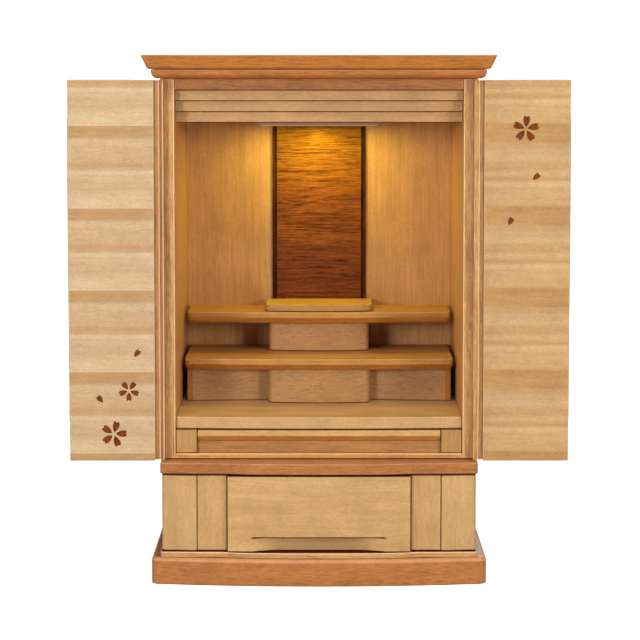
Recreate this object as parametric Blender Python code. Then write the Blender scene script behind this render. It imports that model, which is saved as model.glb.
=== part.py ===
"""Household altar cabinet with bi-fold doors, a pull-out tray and a drawer.

Metres, +Z up, the front faces -Y. Depths are counted from the front plane of the posts,
negative towards the viewer. The origin is on the underside of the plinth.
"""

import math

import bmesh
import bpy

# Fits
SEAM = 0.0003          # gap left where two fixed pieces touch
SLIDE = 0.0008         # play beside what slides
ARRIS = 0.0008         # small bevel along the edges of boards
FINE_ARRIS = 0.0006
WIDE_ARRIS = 0.0012
FRONT_PLANE_Y = -0.106
OUTLINE_STEPS = 16     # stretches along a bowed front
BREAK_STEPS = 22       # along the belt's broken front
BLOCK_STEPS = 10       # along a narrow bowed front
STRAIGHT_STEPS = 2

# Heights, from the ground up
PLINTH_HEIGHT = 0.0325
FILLET_HEIGHT = 0.0062
BASE_HEIGHT = 0.0925
BELT_HEIGHT = 0.0131
SILL_HEIGHT = 0.0069
RAIL_HEIGHT = 0.0136
TRAY_HEIGHT = 0.0131
TRAY_HEADROOM = 0.0015
FLOOR_HEIGHT = 0.0141
NICHE_HEIGHT = 0.3505
CEILING_HEIGHT = 0.0080
HEAD_HEIGHT = 0.0425
MOULDING_HEIGHT = 0.0105
CROWN_HEIGHT = 0.0167

# Carcass
BODY_HALF = 0.1868
POST_WIDTH = 0.0168
INTERIOR_DEPTH = 0.2320
BACK_THICKNESS = 0.0120
POST_DEPTH = 0.0180
SIDE_SET_BACK = 0.0008
BACK_OVERHANG = 0.0020

# Crown
MOULDING_OVERHANG = 0.0086
MOULDING_FRONT = 0.0220
MOULDING_ROUND = 0.0070
CROWN_STEP = 0.0112
CROWN_RAKE = 0.0059
CROWN_ROUND = 0.0050
CROWN_ROUND_HEIGHT = 0.0026
CROWN_CORNER = 0.0020

# Transom and stepped head boards
TRANSOM_HEIGHT = 0.0136
TRANSOM_THICKNESS = 0.0120
HEAD_BOARDS = 3
HEAD_BOARD_FRONT = 0.0132
HEAD_BOARD_THICKNESS = 0.0077
HEAD_BOARD_LAP = 0.0050
HEAD_BOARD_REACH = 0.0387

# Lamp under the ceiling
LAMP_HALF = 0.0770
LAMP_DEPTH = 0.0300
LAMP_HEIGHT = 0.0080
LAMP_FROM_BACK = 0.0700
LENS_HEIGHT = 0.0018
LENS_MARGIN = 0.0040

# Centre panel on the back wall
PANEL_HALF = 0.0543
PANEL_THICKNESS = 0.0030
BACKING_MARGIN = 0.0056
BACKING_THICKNESS = 0.0025

# Plan of the base front: a bowed drawer between flat flanks that fall away to the corners
DRAWER_HALF = 0.1076
DRAWER_BOW = 0.0062
BELT_FRONT = 0.0300
FLANK_STEP = 0.0010
STILE_FACE = 0.0367
FLANK_FALL = 0.0040
BASE_INSET = 0.0015
BASE_SET_BACK = 0.0015
STILE_SET_BACK = 0.0020
BELT_PROUD = 0.0005
BELT_CORNER = 0.0040
CORNER_CHAMFER = 0.3     # where the flank's chamfer starts, as a share of its corner
BELT_ARRIS = 0.0015

# Plinth
PLINTH_PROUD = 0.0105
PLINTH_PROUD_FRONT = 0.0050
PLINTH_BOW = 0.0140
PLINTH_CORNER = 0.0075
PLINTH_ROUND = 0.0045
PLINTH_FOOT_ROUND = 0.0020

# Base carcass
BASE_WALL = 0.0140
PARTITION_WALL = 0.0100
FLANK_THICKNESS = 0.0130
REVEAL = 0.0016

# Drawer
DRAWER_FRONT_BACK = 0.0080
DRAWER_SIDE = 0.0100
DRAWER_BOTTOM = 0.0050
DRAWER_REAR_GAP = 0.0200
DRAWER_SIDE_DROP = 0.0150
DRAWER_REVEAL = 0.0016
PULL_HALF = 0.0440
PULL_SWEEP = 0.0360
PULL_DEPTH = 0.0100
PULL_HEIGHT = 0.0190

# Tray and its guides
GUIDE_WIDTH = 0.0251
GUIDE_REAR_GAP = 0.0100
GUIDE_FRONT = 0.0020
TRAY_REAR_GAP = 0.0170
TRAY_PROUD = 0.0008
TRAY_LIP = 0.0066
TRAY_UNDERCUT = 0.0070
RAIL_FRONT = 0.0075
RAIL_REAR_GAP = 0.0150
SILL_DEPTH = 0.0180
FLOOR_SET_BACK = 0.0005
FLOOR_BOW = 0.0060

# Shelves in the niche
SHELF_SIDE_GAP = 0.0050
SHELF_THICKNESS = 0.0134
SHELF_LIP = 0.0066
SHELF_UNDERCUT = 0.0055
SHELF_CORNER = 0.0050
LOWER_SHELF_TOP = 0.2510
LOWER_SHELF_DEPTH = 0.1390
LOWER_SHELF_BOW = 0.0080
UPPER_SHELF_TOP = 0.3020
UPPER_SHELF_DEPTH = 0.0835
UPPER_SHELF_BOW = 0.0100
BLOCK_HALF = 0.0630
BLOCK_BOW = 0.0076
BLOCK_CORNER = 0.0060
LOWER_BLOCK_SET_BACK = 0.0100
UPPER_BLOCK_SET_BACK = 0.0175
DAIS_HALF = 0.0672
DAIS_HEIGHT = 0.0087
DAIS_SET_BACK = 0.0065
DAIS_BOW = 0.0080
APRON_OUTER_SET_BACK = 0.0290
APRON_INNER_SET_BACK = 0.0400
APRON_THICKNESS = 0.0080
APRON_RETURN = 0.0066
APRON_RETURN_PROUD = 0.0010
APRON_INSET = 0.0018

# Doors
PIVOT_INSET = 0.0028
LEAF_TO_POST = 0.0006
FIRST_LEAF_REACH = 0.1100
LEAF_CORE = 0.0105
LEAF_FACING = 0.0042
LEAF_EDGE_PAST_PIVOT = 0.0025
STILE_WIDTH = 0.0115
LEAF_TOP_GAP = 0.0015
LEAF_BOTTOM_GAP = 0.0015
CORE_SHORTER = 0.0007
MEETING_GAP = 0.0010
FOLD_GAP = 0.0003
ROD_RADIUS = 0.0013
SOCKET_PLAY = 0.0003
ROD_IN_SOCKET = 0.0055

# Fold hinges
HINGE_LENGTH = 0.3600
KNUCKLE_RADIUS = 0.0018
HINGE_PLATE = 0.0010
HINGE_PLATE_WIDTH = 0.0085
HINGE_PLAY = 0.0004

# Levels and depths that follow from the sizes above
FILLET_BOTTOM = PLINTH_HEIGHT + SEAM
FILLET_TOP = FILLET_BOTTOM + FILLET_HEIGHT
BASE_BOTTOM = FILLET_TOP + SEAM
BELT_BOTTOM = BASE_BOTTOM + BASE_HEIGHT
BELT_TOP = BELT_BOTTOM + BELT_HEIGHT
BODY_BOTTOM = BELT_TOP + SEAM
SILL_TOP = BODY_BOTTOM + SILL_HEIGHT
RAIL_BOTTOM = SILL_TOP + SEAM
TRAY_BOTTOM = RAIL_BOTTOM + RAIL_HEIGHT + SEAM
FLOOR_BOTTOM = TRAY_BOTTOM + TRAY_HEIGHT + TRAY_HEADROOM
FLOOR_TOP = FLOOR_BOTTOM + FLOOR_HEIGHT
CEILING_BOTTOM = FLOOR_TOP + NICHE_HEIGHT
CEILING_TOP = CEILING_BOTTOM + CEILING_HEIGHT
BODY_TOP = CEILING_TOP + HEAD_HEIGHT
MOULDING_BOTTOM = BODY_TOP + SEAM
MOULDING_TOP = MOULDING_BOTTOM + MOULDING_HEIGHT
CROWN_BOTTOM = MOULDING_TOP + SEAM
CROWN_TOP = CROWN_BOTTOM + CROWN_HEIGHT
INNER_HALF = BODY_HALF - POST_WIDTH
BASE_HALF = BODY_HALF - BASE_INSET
BELT_HALF = BODY_HALF + BELT_PROUD
PLINTH_HALF = BELT_HALF + PLINTH_PROUD
PLINTH_FRONT = BELT_FRONT + PLINTH_PROUD_FRONT
FLANK_JOINT = DRAWER_HALF + STILE_FACE
SHELF_HALF = INNER_HALF - SHELF_SIDE_GAP
APRON_OUTER_HALF = SHELF_HALF - APRON_INSET
LOWER_SHELF_FRONT = INTERIOR_DEPTH - LOWER_SHELF_DEPTH
UPPER_SHELF_FRONT = INTERIOR_DEPTH - UPPER_SHELF_DEPTH
LOWER_BLOCK_FRONT = LOWER_SHELF_FRONT + LOWER_BLOCK_SET_BACK
UPPER_BLOCK_FRONT = UPPER_SHELF_FRONT + UPPER_BLOCK_SET_BACK
DAIS_FRONT = UPPER_SHELF_FRONT + DAIS_SET_BACK
APRON_OUTER_FRONT = LOWER_SHELF_FRONT + APRON_OUTER_SET_BACK
APRON_INNER_FRONT = LOWER_SHELF_FRONT + APRON_INNER_SET_BACK
LAMP_FRONT = INTERIOR_DEPTH - LAMP_FROM_BACK
BODY_BACK = INTERIOR_DEPTH + BACK_THICKNESS
OVERHANG_BACK = BODY_BACK + BACK_OVERHANG
PANEL_BACK = INTERIOR_DEPTH - SEAM - BACKING_THICKNESS - SEAM
PANEL_FACE = PANEL_BACK - PANEL_THICKNESS
SIDE_OUTER = BODY_HALF - SIDE_SET_BACK
GUIDE_INNER = INNER_HALF - SEAM - GUIDE_WIDTH
PIVOT_X = BODY_HALF - PIVOT_INSET
FOLD_X = PIVOT_X + FIRST_LEAF_REACH
LEAF_THICKNESS = LEAF_CORE + SEAM + LEAF_FACING
PIVOT_DEPTH = -LEAF_TO_POST - LEAF_THICKNESS / 2
FOLD_DEPTH = PIVOT_DEPTH + LEAF_THICKNESS / 2 + FOLD_GAP


def make_material(name, colour, roughness, metallic=0.0):
    material = bpy.data.materials.new(name)
    material.use_nodes = True
    shader = material.node_tree.nodes["Principled BSDF"]
    shader.inputs["Base Color"].default_value = (*colour, 1.0)
    shader.inputs["Roughness"].default_value = roughness
    shader.inputs["Metallic"].default_value = metallic
    return material


def make_materials():
    """One finish for each kind of wood, the fittings and the lamp."""
    return {
        "crown": make_material("reddish_walnut", (0.46, 0.22, 0.085), 0.42),
        "frame": make_material("walnut_brown", (0.41, 0.23, 0.12), 0.45),
        "light": make_material("light_ash", (0.62, 0.43, 0.24), 0.45),
        "shelf": make_material("honey_ash", (0.56, 0.34, 0.16), 0.42),
        "dark": make_material("dark_rosewood", (0.11, 0.040, 0.018), 0.38),
        "back": make_material("back_board", (0.42, 0.27, 0.15), 0.60),
        "brass": make_material("brass", (0.62, 0.46, 0.22), 0.32, 1.0),
        "lamp": make_material("lamp_body", (0.72, 0.66, 0.58), 0.45),
        "lens": make_material("lamp_lens", (0.95, 0.86, 0.66), 0.30),
    }


def y_at(depth):
    return FRONT_PLANE_Y + depth


def finish_mesh(name, work, material):
    """Turn a bmesh into a named object with its faces pointing out."""
    bmesh.ops.recalc_face_normals(work, faces=work.faces)
    mesh = bpy.data.meshes.new(name)
    work.to_mesh(mesh)
    work.free()
    piece = bpy.data.objects.new(name, mesh)
    bpy.context.collection.objects.link(piece)
    if material is not None:
        mesh.materials.append(material)
    return piece


def loft(name, material, rings):
    """A closed solid through rings of (x, y, z) points, all with the same number of points."""
    work = bmesh.new()
    loops = [[work.verts.new(point) for point in ring] for ring in rings]
    count = len(loops[0])
    for lower, upper in zip(loops, loops[1:]):
        for i in range(count):
            j = (i + 1) % count
            work.faces.new((lower[i], lower[j], upper[j], upper[i]))
    work.faces.new(list(reversed(loops[0])))
    work.faces.new(loops[-1])
    return finish_mesh(name, work, material)


def block(name, material, xs, depths, zs, arris=0.0):
    """A board between two x, two depths and two heights, with its edges eased by arris."""
    x0, x1 = sorted(xs)
    y0, y1 = y_at(depths[0]), y_at(depths[1])
    corners = [(x0, y0), (x1, y0), (x1, y1), (x0, y1)]
    piece = loft(name, material, [[(x, y, z) for x, y in corners] for z in zs])
    if arris:
        ease(piece, arris)
    return piece


def ease(piece, width, segments=1):
    bevel = piece.modifiers.new("eased_edges", "BEVEL")
    bevel.width = width
    bevel.segments = segments
    bevel.limit_method = "ANGLE"
    bevel.angle_limit = math.radians(40)


def prism_along_x(name, material, xs, outline):
    """Extrude an outline of (depth, z) points from one x to the other."""
    x0, x1 = sorted(xs)
    rings = [[(x, y_at(depth), z) for depth, z in outline] for x in (x0, x1)]
    return loft(name, material, rings)


def prism_up(name, material, outline, zs):
    """Extrude an outline of (x, depth) points from one height to the other."""
    rings = [[(x, y_at(depth), z) for x, depth in outline] for z in zs]
    return loft(name, material, rings)


def cylinder(name, material, radius, centre, zs, sides=16):
    """An upright round bar about the axis through (x, depth)."""
    x, depth = centre
    ring = []
    for i in range(sides):
        angle = 2 * math.pi * (i + 0.5) / sides
        ring.append((x + radius * math.cos(angle), depth + radius * math.sin(angle)))
    return prism_up(name, material, ring, zs)


def hide_cutter(cutter):
    cutter.hide_render = True
    cutter.display_type = "WIRE"


def combine(piece, tool, operation):
    boolean = piece.modifiers.new("cut_" + tool.name, "BOOLEAN")
    boolean.operation = operation
    boolean.solver = "EXACT"
    boolean.object = tool
    hide_cutter(tool)


def plan_outline(half, front_at, back, corner, inset, steps=OUTLINE_STEPS):
    """An outline in plan, with a shaped front, round front corners and a straight back.

    front_at gives the depth of the front at a distance from the centre line. inset moves
    the front and the sides inwards and leaves the back where it is.
    """
    half = half - inset
    reach = half - corner
    shoulder = front_at(reach) + inset
    points = [(-half, back), (half, back)]
    for i in range(5):
        angle = math.radians(90 * i / 4)
        x = reach + corner * math.cos(angle)
        points.append((x, shoulder + corner * (1 - math.sin(angle))))
    for i in range(1, steps):
        x = reach * (1 - 2 * i / steps)
        points.append((x, front_at(abs(x)) + inset))
    for i in range(5):
        angle = math.radians(90 * (4 - i) / 4)
        x = -reach - corner * math.cos(angle)
        points.append((x, shoulder + corner * (1 - math.sin(angle))))
    return points


def slab(name, material, outline_at, levels):
    """A moulded slab: levels are (z, inset) pairs from the bottom up."""
    rings = []
    for z, inset in levels:
        rings.append([(x, y_at(depth), z) for x, depth in outline_at(inset)])
    return loft(name, material, rings)


def bowed(front, bow, half):
    """A front that is bow deeper at its ends than at its middle."""
    return lambda x: front + bow * (x / half) ** 2


def straight(front):
    return lambda x: front


def break_front(x):
    """Depth of the belt's front: bowed over the drawer, flat beside it, falling to the corners."""
    x = abs(x)
    if x <= DRAWER_HALF:
        return -BELT_FRONT + DRAWER_BOW * (x / DRAWER_HALF) ** 4
    flank = -BELT_FRONT + DRAWER_BOW + FLANK_STEP
    if x <= FLANK_JOINT:
        return flank
    return flank + FLANK_FALL * (x - FLANK_JOINT) / (BELT_HALF - FLANK_JOINT)


def build_plinth(woods):
    front = bowed(-PLINTH_FRONT, PLINTH_BOW, PLINTH_HALF)

    def outline(inset):
        return plan_outline(PLINTH_HALF, front, OVERHANG_BACK, PLINTH_CORNER, inset)

    levels = [(0.0, PLINTH_FOOT_ROUND), (PLINTH_FOOT_ROUND, 0.0)]
    for i in range(4):
        angle = math.radians(90 * i / 3)
        rise = PLINTH_ROUND * (1 - math.sin(angle))
        levels.append((PLINTH_HEIGHT - rise, PLINTH_ROUND * (1 - math.cos(angle))))
    slab("plinth", woods["crown"], outline, levels)

    def fillet_outline(inset):
        return plan_outline(BELT_HALF, break_front, BODY_BACK, BELT_CORNER, inset, steps=BREAK_STEPS)

    levels = [(FILLET_BOTTOM, 0.0), (FILLET_TOP - BELT_ARRIS, 0.0), (FILLET_TOP, BELT_ARRIS / 2)]
    slab("plinth_fillet", woods["crown"], fillet_outline, levels)


def build_belt(woods):
    def outline(inset):
        return plan_outline(BELT_HALF, break_front, BODY_BACK, BELT_CORNER, inset, steps=BREAK_STEPS)

    levels = [
        (BELT_BOTTOM, BELT_ARRIS / 2),
        (BELT_BOTTOM + BELT_ARRIS / 2, 0.0),
        (BELT_TOP - BELT_ARRIS, 0.0),
        (BELT_TOP, BELT_ARRIS),
    ]
    belt = slab("belt", woods["crown"], outline, levels)
    for side, label in ((-1, "left"), (1, "right")):
        socket = cylinder(
            f"{label}_lower_socket_cutter",
            None,
            ROD_RADIUS + SOCKET_PLAY,
            (side * PIVOT_X, PIVOT_DEPTH),
            (BELT_TOP - ROD_IN_SOCKET - SLIDE, BELT_TOP + ROD_RADIUS),
        )
        combine(belt, socket, "DIFFERENCE")


def build_base(woods):
    """Walls, partitions and the four front strips beside the drawer."""
    top = BELT_BOTTOM - SEAM
    strip_zs = (BASE_BOTTOM + REVEAL / 2, BELT_BOTTOM - REVEAL)
    back_front = BODY_BACK - BACK_THICKNESS
    flank_face = -BELT_FRONT + DRAWER_BOW + FLANK_STEP + BASE_SET_BACK
    strip_back = flank_face + FLANK_THICKNESS
    wall_front = strip_back + SEAM
    inner = BASE_HALF - BASE_WALL
    block(
        "base_back",
        woods["back"],
        (-inner + SEAM, inner - SEAM),
        (back_front, BODY_BACK),
        (BASE_BOTTOM, top),
    )
    run = DRAWER_HALF + SLIDE
    for side, label in ((-1, "left"), (1, "right")):
        block(
            f"base_side_{label}",
            woods["frame"],
            (side * inner, side * BASE_HALF),
            (wall_front, BODY_BACK),
            (BASE_BOTTOM, top),
        )
        block(
            f"base_partition_{label}",
            woods["back"],
            (side * run, side * (run + PARTITION_WALL)),
            (wall_front, back_front - SEAM),
            (BASE_BOTTOM, top),
        )
        inner_strip = block(
            f"base_stile_{label}",
            woods["light"],
            (side * run, side * (FLANK_JOINT - SEAM)),
            (flank_face + STILE_SET_BACK, strip_back),
            strip_zs,
        )
        ease(inner_strip, FINE_ARRIS)
        corner = BELT_CORNER
        fall = flank_face + FLANK_FALL * (BASE_HALF - corner - FLANK_JOINT) / (BELT_HALF - FLANK_JOINT)
        outline = [
            (side * FLANK_JOINT, strip_back),
            (side * FLANK_JOINT, flank_face),
            (side * (BASE_HALF - corner), fall),
            (side * (BASE_HALF - corner * CORNER_CHAMFER), fall + corner * CORNER_CHAMFER),
            (side * BASE_HALF, fall + corner),
            (side * BASE_HALF, strip_back),
        ]
        outer_strip = prism_up(f"base_flank_{label}", woods["light"], outline, strip_zs)
        ease(outer_strip, FINE_ARRIS)


def build_body(woods):
    """Posts, side walls, back, floor and ceiling of the upper cabinet."""
    for side, label in ((-1, "left"), (1, "right")):
        block(
            f"post_{label}",
            woods["frame"],
            (side * INNER_HALF, side * BODY_HALF),
            (0.0, POST_DEPTH),
            (BODY_BOTTOM, BODY_TOP),
            arris=WIDE_ARRIS,
        )
        block(
            f"side_panel_{label}",
            woods["frame"],
            (side * INNER_HALF, side * SIDE_OUTER),
            (POST_DEPTH + SEAM, BODY_BACK),
            (BODY_BOTTOM, BODY_TOP),
        )
    wide = INNER_HALF - SEAM
    block(
        "back_board",
        woods["back"],
        (-wide, wide),
        (INTERIOR_DEPTH, BODY_BACK),
        (BODY_BOTTOM, BODY_TOP),
    )

    def floor_outline(inset):
        front = bowed(FLOOR_SET_BACK, FLOOR_BOW, wide)
        return plan_outline(wide, front, INTERIOR_DEPTH - SEAM, ARRIS, inset)

    levels = [(FLOOR_BOTTOM, 0.0), (FLOOR_TOP - ARRIS, 0.0), (FLOOR_TOP, ARRIS)]
    slab("niche_floor", woods["light"], floor_outline, levels)
    block(
        "ceiling",
        woods["shelf"],
        (-wide, wide),
        (HEAD_BOARD_FRONT + HEAD_BOARDS * (HEAD_BOARD_THICKNESS + SEAM), INTERIOR_DEPTH - SEAM),
        (CEILING_BOTTOM, CEILING_TOP),
    )


def build_head(woods):
    """The transom and the three boards that step back and down behind it."""
    wide = INNER_HALF - SEAM
    transom_bottom = BODY_TOP - TRANSOM_HEIGHT
    block(
        "transom",
        woods["frame"],
        (-wide + SEAM, wide - SEAM),
        (SIDE_SET_BACK, SIDE_SET_BACK + TRANSOM_THICKNESS),
        (transom_bottom, BODY_TOP),
        arris=ARRIS,
    )
    height = HEAD_BOARD_REACH / HEAD_BOARDS
    for i in range(HEAD_BOARDS):
        front = HEAD_BOARD_FRONT + i * (HEAD_BOARD_THICKNESS + SEAM)
        bottom = transom_bottom - (i + 1) * height
        block(
            f"head_board_{i + 1}",
            woods["light"],
            (-wide, wide),
            (front, front + HEAD_BOARD_THICKNESS),
            (bottom, bottom + height + HEAD_BOARD_LAP),
            arris=ARRIS,
        )


def build_lamp(woods):
    top = CEILING_BOTTOM - SEAM
    bottom = top - LAMP_HEIGHT
    block(
        "lamp_bar",
        woods["lamp"],
        (-LAMP_HALF, LAMP_HALF),
        (LAMP_FRONT, LAMP_FRONT + LAMP_DEPTH),
        (bottom, top),
        arris=ARRIS,
    )
    block(
        "lamp_lens",
        woods["lens"],
        (-LAMP_HALF + LENS_MARGIN, LAMP_HALF - LENS_MARGIN),
        (LAMP_FRONT + LENS_MARGIN, LAMP_FRONT + LAMP_DEPTH - LENS_MARGIN),
        (bottom - SEAM - LENS_HEIGHT, bottom - SEAM),
    )


def build_centre_panel(woods):
    """A dark panel on a slightly wider dark backing, from the upper shelf to the ceiling."""
    zs = (UPPER_SHELF_TOP + SEAM, CEILING_BOTTOM - SEAM)
    backing_half = PANEL_HALF + BACKING_MARGIN
    block(
        "panel_backing",
        woods["dark"],
        (-backing_half, backing_half),
        (PANEL_BACK + SEAM, INTERIOR_DEPTH - SEAM),
        zs,
    )
    block(
        "centre_panel",
        woods["dark"],
        (-PANEL_HALF, PANEL_HALF),
        (PANEL_FACE, PANEL_BACK),
        zs,
        arris=FINE_ARRIS,
    )


def build_crown(woods):
    def moulding_outline(inset):
        half = BODY_HALF + MOULDING_OVERHANG
        front = straight(-MOULDING_FRONT)
        return plan_outline(half, front, OVERHANG_BACK, CROWN_CORNER, inset, steps=STRAIGHT_STEPS)

    levels = []
    for i in range(5):
        angle = math.radians(90 * i / 4)
        rise = (MOULDING_HEIGHT - 2 * ARRIS) * (1 - math.cos(angle))
        levels.append((MOULDING_BOTTOM + rise, MOULDING_ROUND * (1 - math.sin(angle))))
    levels.append((MOULDING_TOP, ARRIS))
    moulding = slab("crown_moulding", woods["crown"], moulding_outline, levels)
    for side, label in ((-1, "left"), (1, "right")):
        socket = cylinder(
            f"{label}_upper_socket_cutter",
            None,
            ROD_RADIUS + SOCKET_PLAY,
            (side * PIVOT_X, PIVOT_DEPTH),
            (MOULDING_BOTTOM - ROD_RADIUS, MOULDING_BOTTOM + ROD_IN_SOCKET + SLIDE),
        )
        combine(moulding, socket, "DIFFERENCE")

    def board_outline(inset):
        half = BODY_HALF + MOULDING_OVERHANG + CROWN_STEP
        front = straight(-MOULDING_FRONT - CROWN_STEP)
        return plan_outline(half, front, OVERHANG_BACK, CROWN_CORNER, inset, steps=STRAIGHT_STEPS)

    levels = []
    for i in range(4):
        angle = math.radians(90 * i / 3)
        rise = CROWN_ROUND_HEIGHT * (1 - math.cos(angle))
        levels.append((CROWN_BOTTOM + rise, CROWN_RAKE + CROWN_ROUND * (1 - math.sin(angle))))
    levels.append((CROWN_TOP - ARRIS, ARRIS / 2))
    levels.append((CROWN_TOP, ARRIS))
    slab("crown_board", woods["crown"], board_outline, levels)


def build_sill_and_guides(woods):
    """The fixed pieces round the tray: sill, the rail it slides on and its side guides."""
    wide = INNER_HALF - SEAM
    block(
        "sill",
        woods["crown"],
        (-wide, wide),
        (0.0, SILL_DEPTH),
        (BODY_BOTTOM, SILL_TOP),
        arris=WIDE_ARRIS,
    )
    rail_half = GUIDE_INNER - SEAM
    block(
        "tray_rail",
        woods["frame"],
        (-rail_half, rail_half),
        (RAIL_FRONT, INTERIOR_DEPTH - RAIL_REAR_GAP),
        (RAIL_BOTTOM, TRAY_BOTTOM - SEAM),
    )
    for side, label in ((-1, "left"), (1, "right")):
        block(
            f"tray_guide_{label}",
            woods["light"],
            (side * GUIDE_INNER, side * wide),
            (GUIDE_FRONT, INTERIOR_DEPTH - GUIDE_REAR_GAP),
            (RAIL_BOTTOM, FLOOR_BOTTOM - SEAM),
            arris=FINE_ARRIS,
        )


def build_tray(woods):
    half = GUIDE_INNER - SLIDE
    top = TRAY_BOTTOM + TRAY_HEIGHT
    front = GUIDE_FRONT - TRAY_PROUD
    back = INTERIOR_DEPTH - TRAY_REAR_GAP
    outline = [
        (front + TRAY_UNDERCUT, TRAY_BOTTOM),
        (front, top - TRAY_LIP),
        (front, top - ARRIS),
        (front + ARRIS, top),
        (back, top),
        (back, TRAY_BOTTOM),
    ]
    return [prism_along_x("tray_board", woods["light"], (-half, half), outline)]


def build_drawer(woods):
    """A bowed front with a finger pull at its foot, and a box behind it."""
    bottom = BASE_BOTTOM + DRAWER_REVEAL / 2
    top = BELT_BOTTOM - REVEAL
    set_back = BASE_SET_BACK
    steps = 24
    outline = [(DRAWER_HALF, -DRAWER_FRONT_BACK), (-DRAWER_HALF, -DRAWER_FRONT_BACK)]
    for i in range(steps + 1):
        x = DRAWER_HALF * (2 * i / steps - 1)
        outline.append((x, break_front(x) + set_back))
    front = prism_up("drawer_front", woods["light"], outline, (bottom, top))
    ease(front, FINE_ARRIS)

    reach = PULL_HALF + PULL_SWEEP
    ahead = -BELT_FRONT - PULL_DEPTH
    notch = [(reach, ahead), (-reach, ahead)]
    for i in range(steps + 1):
        x = reach * (2 * i / steps - 1)
        along = min(1.0, (reach - abs(x)) / PULL_SWEEP)
        sweep = along * along * (3 - 2 * along)
        notch.append((x, break_front(x) + set_back - SEAM + (PULL_DEPTH + SEAM) * sweep))
    pull = prism_up("finger_pull_cutter", None, notch, (bottom - PULL_DEPTH, bottom + PULL_HEIGHT))
    combine(front, pull, "DIFFERENCE")

    box_front = -DRAWER_FRONT_BACK + SEAM
    box_back = INTERIOR_DEPTH - DRAWER_REAR_GAP
    side_top = top - DRAWER_SIDE_DROP
    outer = DRAWER_HALF - SLIDE
    inner = outer - DRAWER_SIDE
    floor_top = bottom + DRAWER_BOTTOM
    pieces = [front]
    pieces.append(
        block(
            "drawer_bottom",
            woods["back"],
            (-outer, outer),
            (box_front, box_back),
            (bottom, floor_top),
        )
    )
    for side, label in ((-1, "left"), (1, "right")):
        pieces.append(
            block(
                f"drawer_side_{label}",
                woods["light"],
                (side * inner, side * outer),
                (box_front, box_back),
                (floor_top + SEAM, side_top),
                arris=ARRIS,
            )
        )
    pieces.append(
        block(
            "drawer_back",
            woods["light"],
            (-inner + SEAM, inner - SEAM),
            (box_back - DRAWER_SIDE, box_back),
            (floor_top + SEAM, side_top),
            arris=ARRIS,
        )
    )
    return pieces


def build_shelf(name, woods, top, front, bow):
    def outline(inset):
        half = SHELF_HALF
        back = INTERIOR_DEPTH - SEAM
        return plan_outline(half, bowed(front, bow, half), back, SHELF_CORNER, inset)

    bottom = top - SHELF_THICKNESS
    lip_bottom = top - SHELF_LIP
    levels = [
        (bottom, SHELF_UNDERCUT),
        (lip_bottom, 0.0),
        (top - ARRIS, 0.0),
        (top, ARRIS),
    ]
    slab(name, woods["light"], outline, levels)


def build_block(name, woods, front, zs):
    def outline(inset):
        back = INTERIOR_DEPTH - SEAM
        return plan_outline(
            BLOCK_HALF, bowed(front, BLOCK_BOW, BLOCK_HALF), back, BLOCK_CORNER, inset, steps=BLOCK_STEPS
        )

    slab(name, woods["light"], outline, [(zs[0], 0.0), (zs[1], 0.0)])


def build_shelves(woods):
    """Two bowed shelves on centre blocks, slanted aprons under the lower one, and the dais."""
    build_shelf("shelf_lower", woods, LOWER_SHELF_TOP, LOWER_SHELF_FRONT, LOWER_SHELF_BOW)
    build_shelf("shelf_upper", woods, UPPER_SHELF_TOP, UPPER_SHELF_FRONT, UPPER_SHELF_BOW)
    lower_zs = (FLOOR_TOP + SEAM, LOWER_SHELF_TOP - SHELF_THICKNESS - SEAM)
    upper_zs = (LOWER_SHELF_TOP + SEAM, UPPER_SHELF_TOP - SHELF_THICKNESS - SEAM)
    build_block("block_lower", woods, LOWER_BLOCK_FRONT, lower_zs)
    build_block("block_upper", woods, UPPER_BLOCK_FRONT, upper_zs)

    def dais_outline(inset):
        front = bowed(DAIS_FRONT, DAIS_BOW, DAIS_HALF)
        back = PANEL_FACE - SEAM
        return plan_outline(DAIS_HALF, front, back, BLOCK_CORNER, inset, steps=BLOCK_STEPS)

    bottom = UPPER_SHELF_TOP + SEAM
    top = bottom + DAIS_HEIGHT
    levels = [(bottom, ARRIS), (bottom + ARRIS, 0.0), (top - ARRIS, 0.0), (top, ARRIS)]
    slab("dais", woods["light"], dais_outline, levels)

    for side, label in ((-1, "left"), (1, "right")):
        near = BLOCK_HALF + SEAM
        turn = APRON_OUTER_HALF - APRON_RETURN
        outline = [
            (side * near, APRON_INNER_FRONT),
            (side * turn, APRON_OUTER_FRONT),
            (side * turn, APRON_OUTER_FRONT - APRON_RETURN_PROUD),
            (side * APRON_OUTER_HALF, APRON_OUTER_FRONT - APRON_RETURN_PROUD),
            (side * APRON_OUTER_HALF, INTERIOR_DEPTH - SEAM),
            (side * turn, INTERIOR_DEPTH - SEAM),
            (side * turn, APRON_OUTER_FRONT + APRON_THICKNESS),
            (side * near, APRON_INNER_FRONT + APRON_THICKNESS),
        ]
        prism_up(f"apron_{label}", woods["light"], outline, lower_zs)


def make_empty(name, x, depth, z):
    empty = bpy.data.objects.new(name, None)
    bpy.context.collection.objects.link(empty)
    empty.location = (x, y_at(depth), z)
    return empty


def hang_on(pieces, empty, at):
    """Parent pieces to an empty that stands at a world point, leaving them where they are."""
    for piece in pieces:
        piece.parent = empty
        piece.location = (-at[0], -at[1], -at[2])


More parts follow.
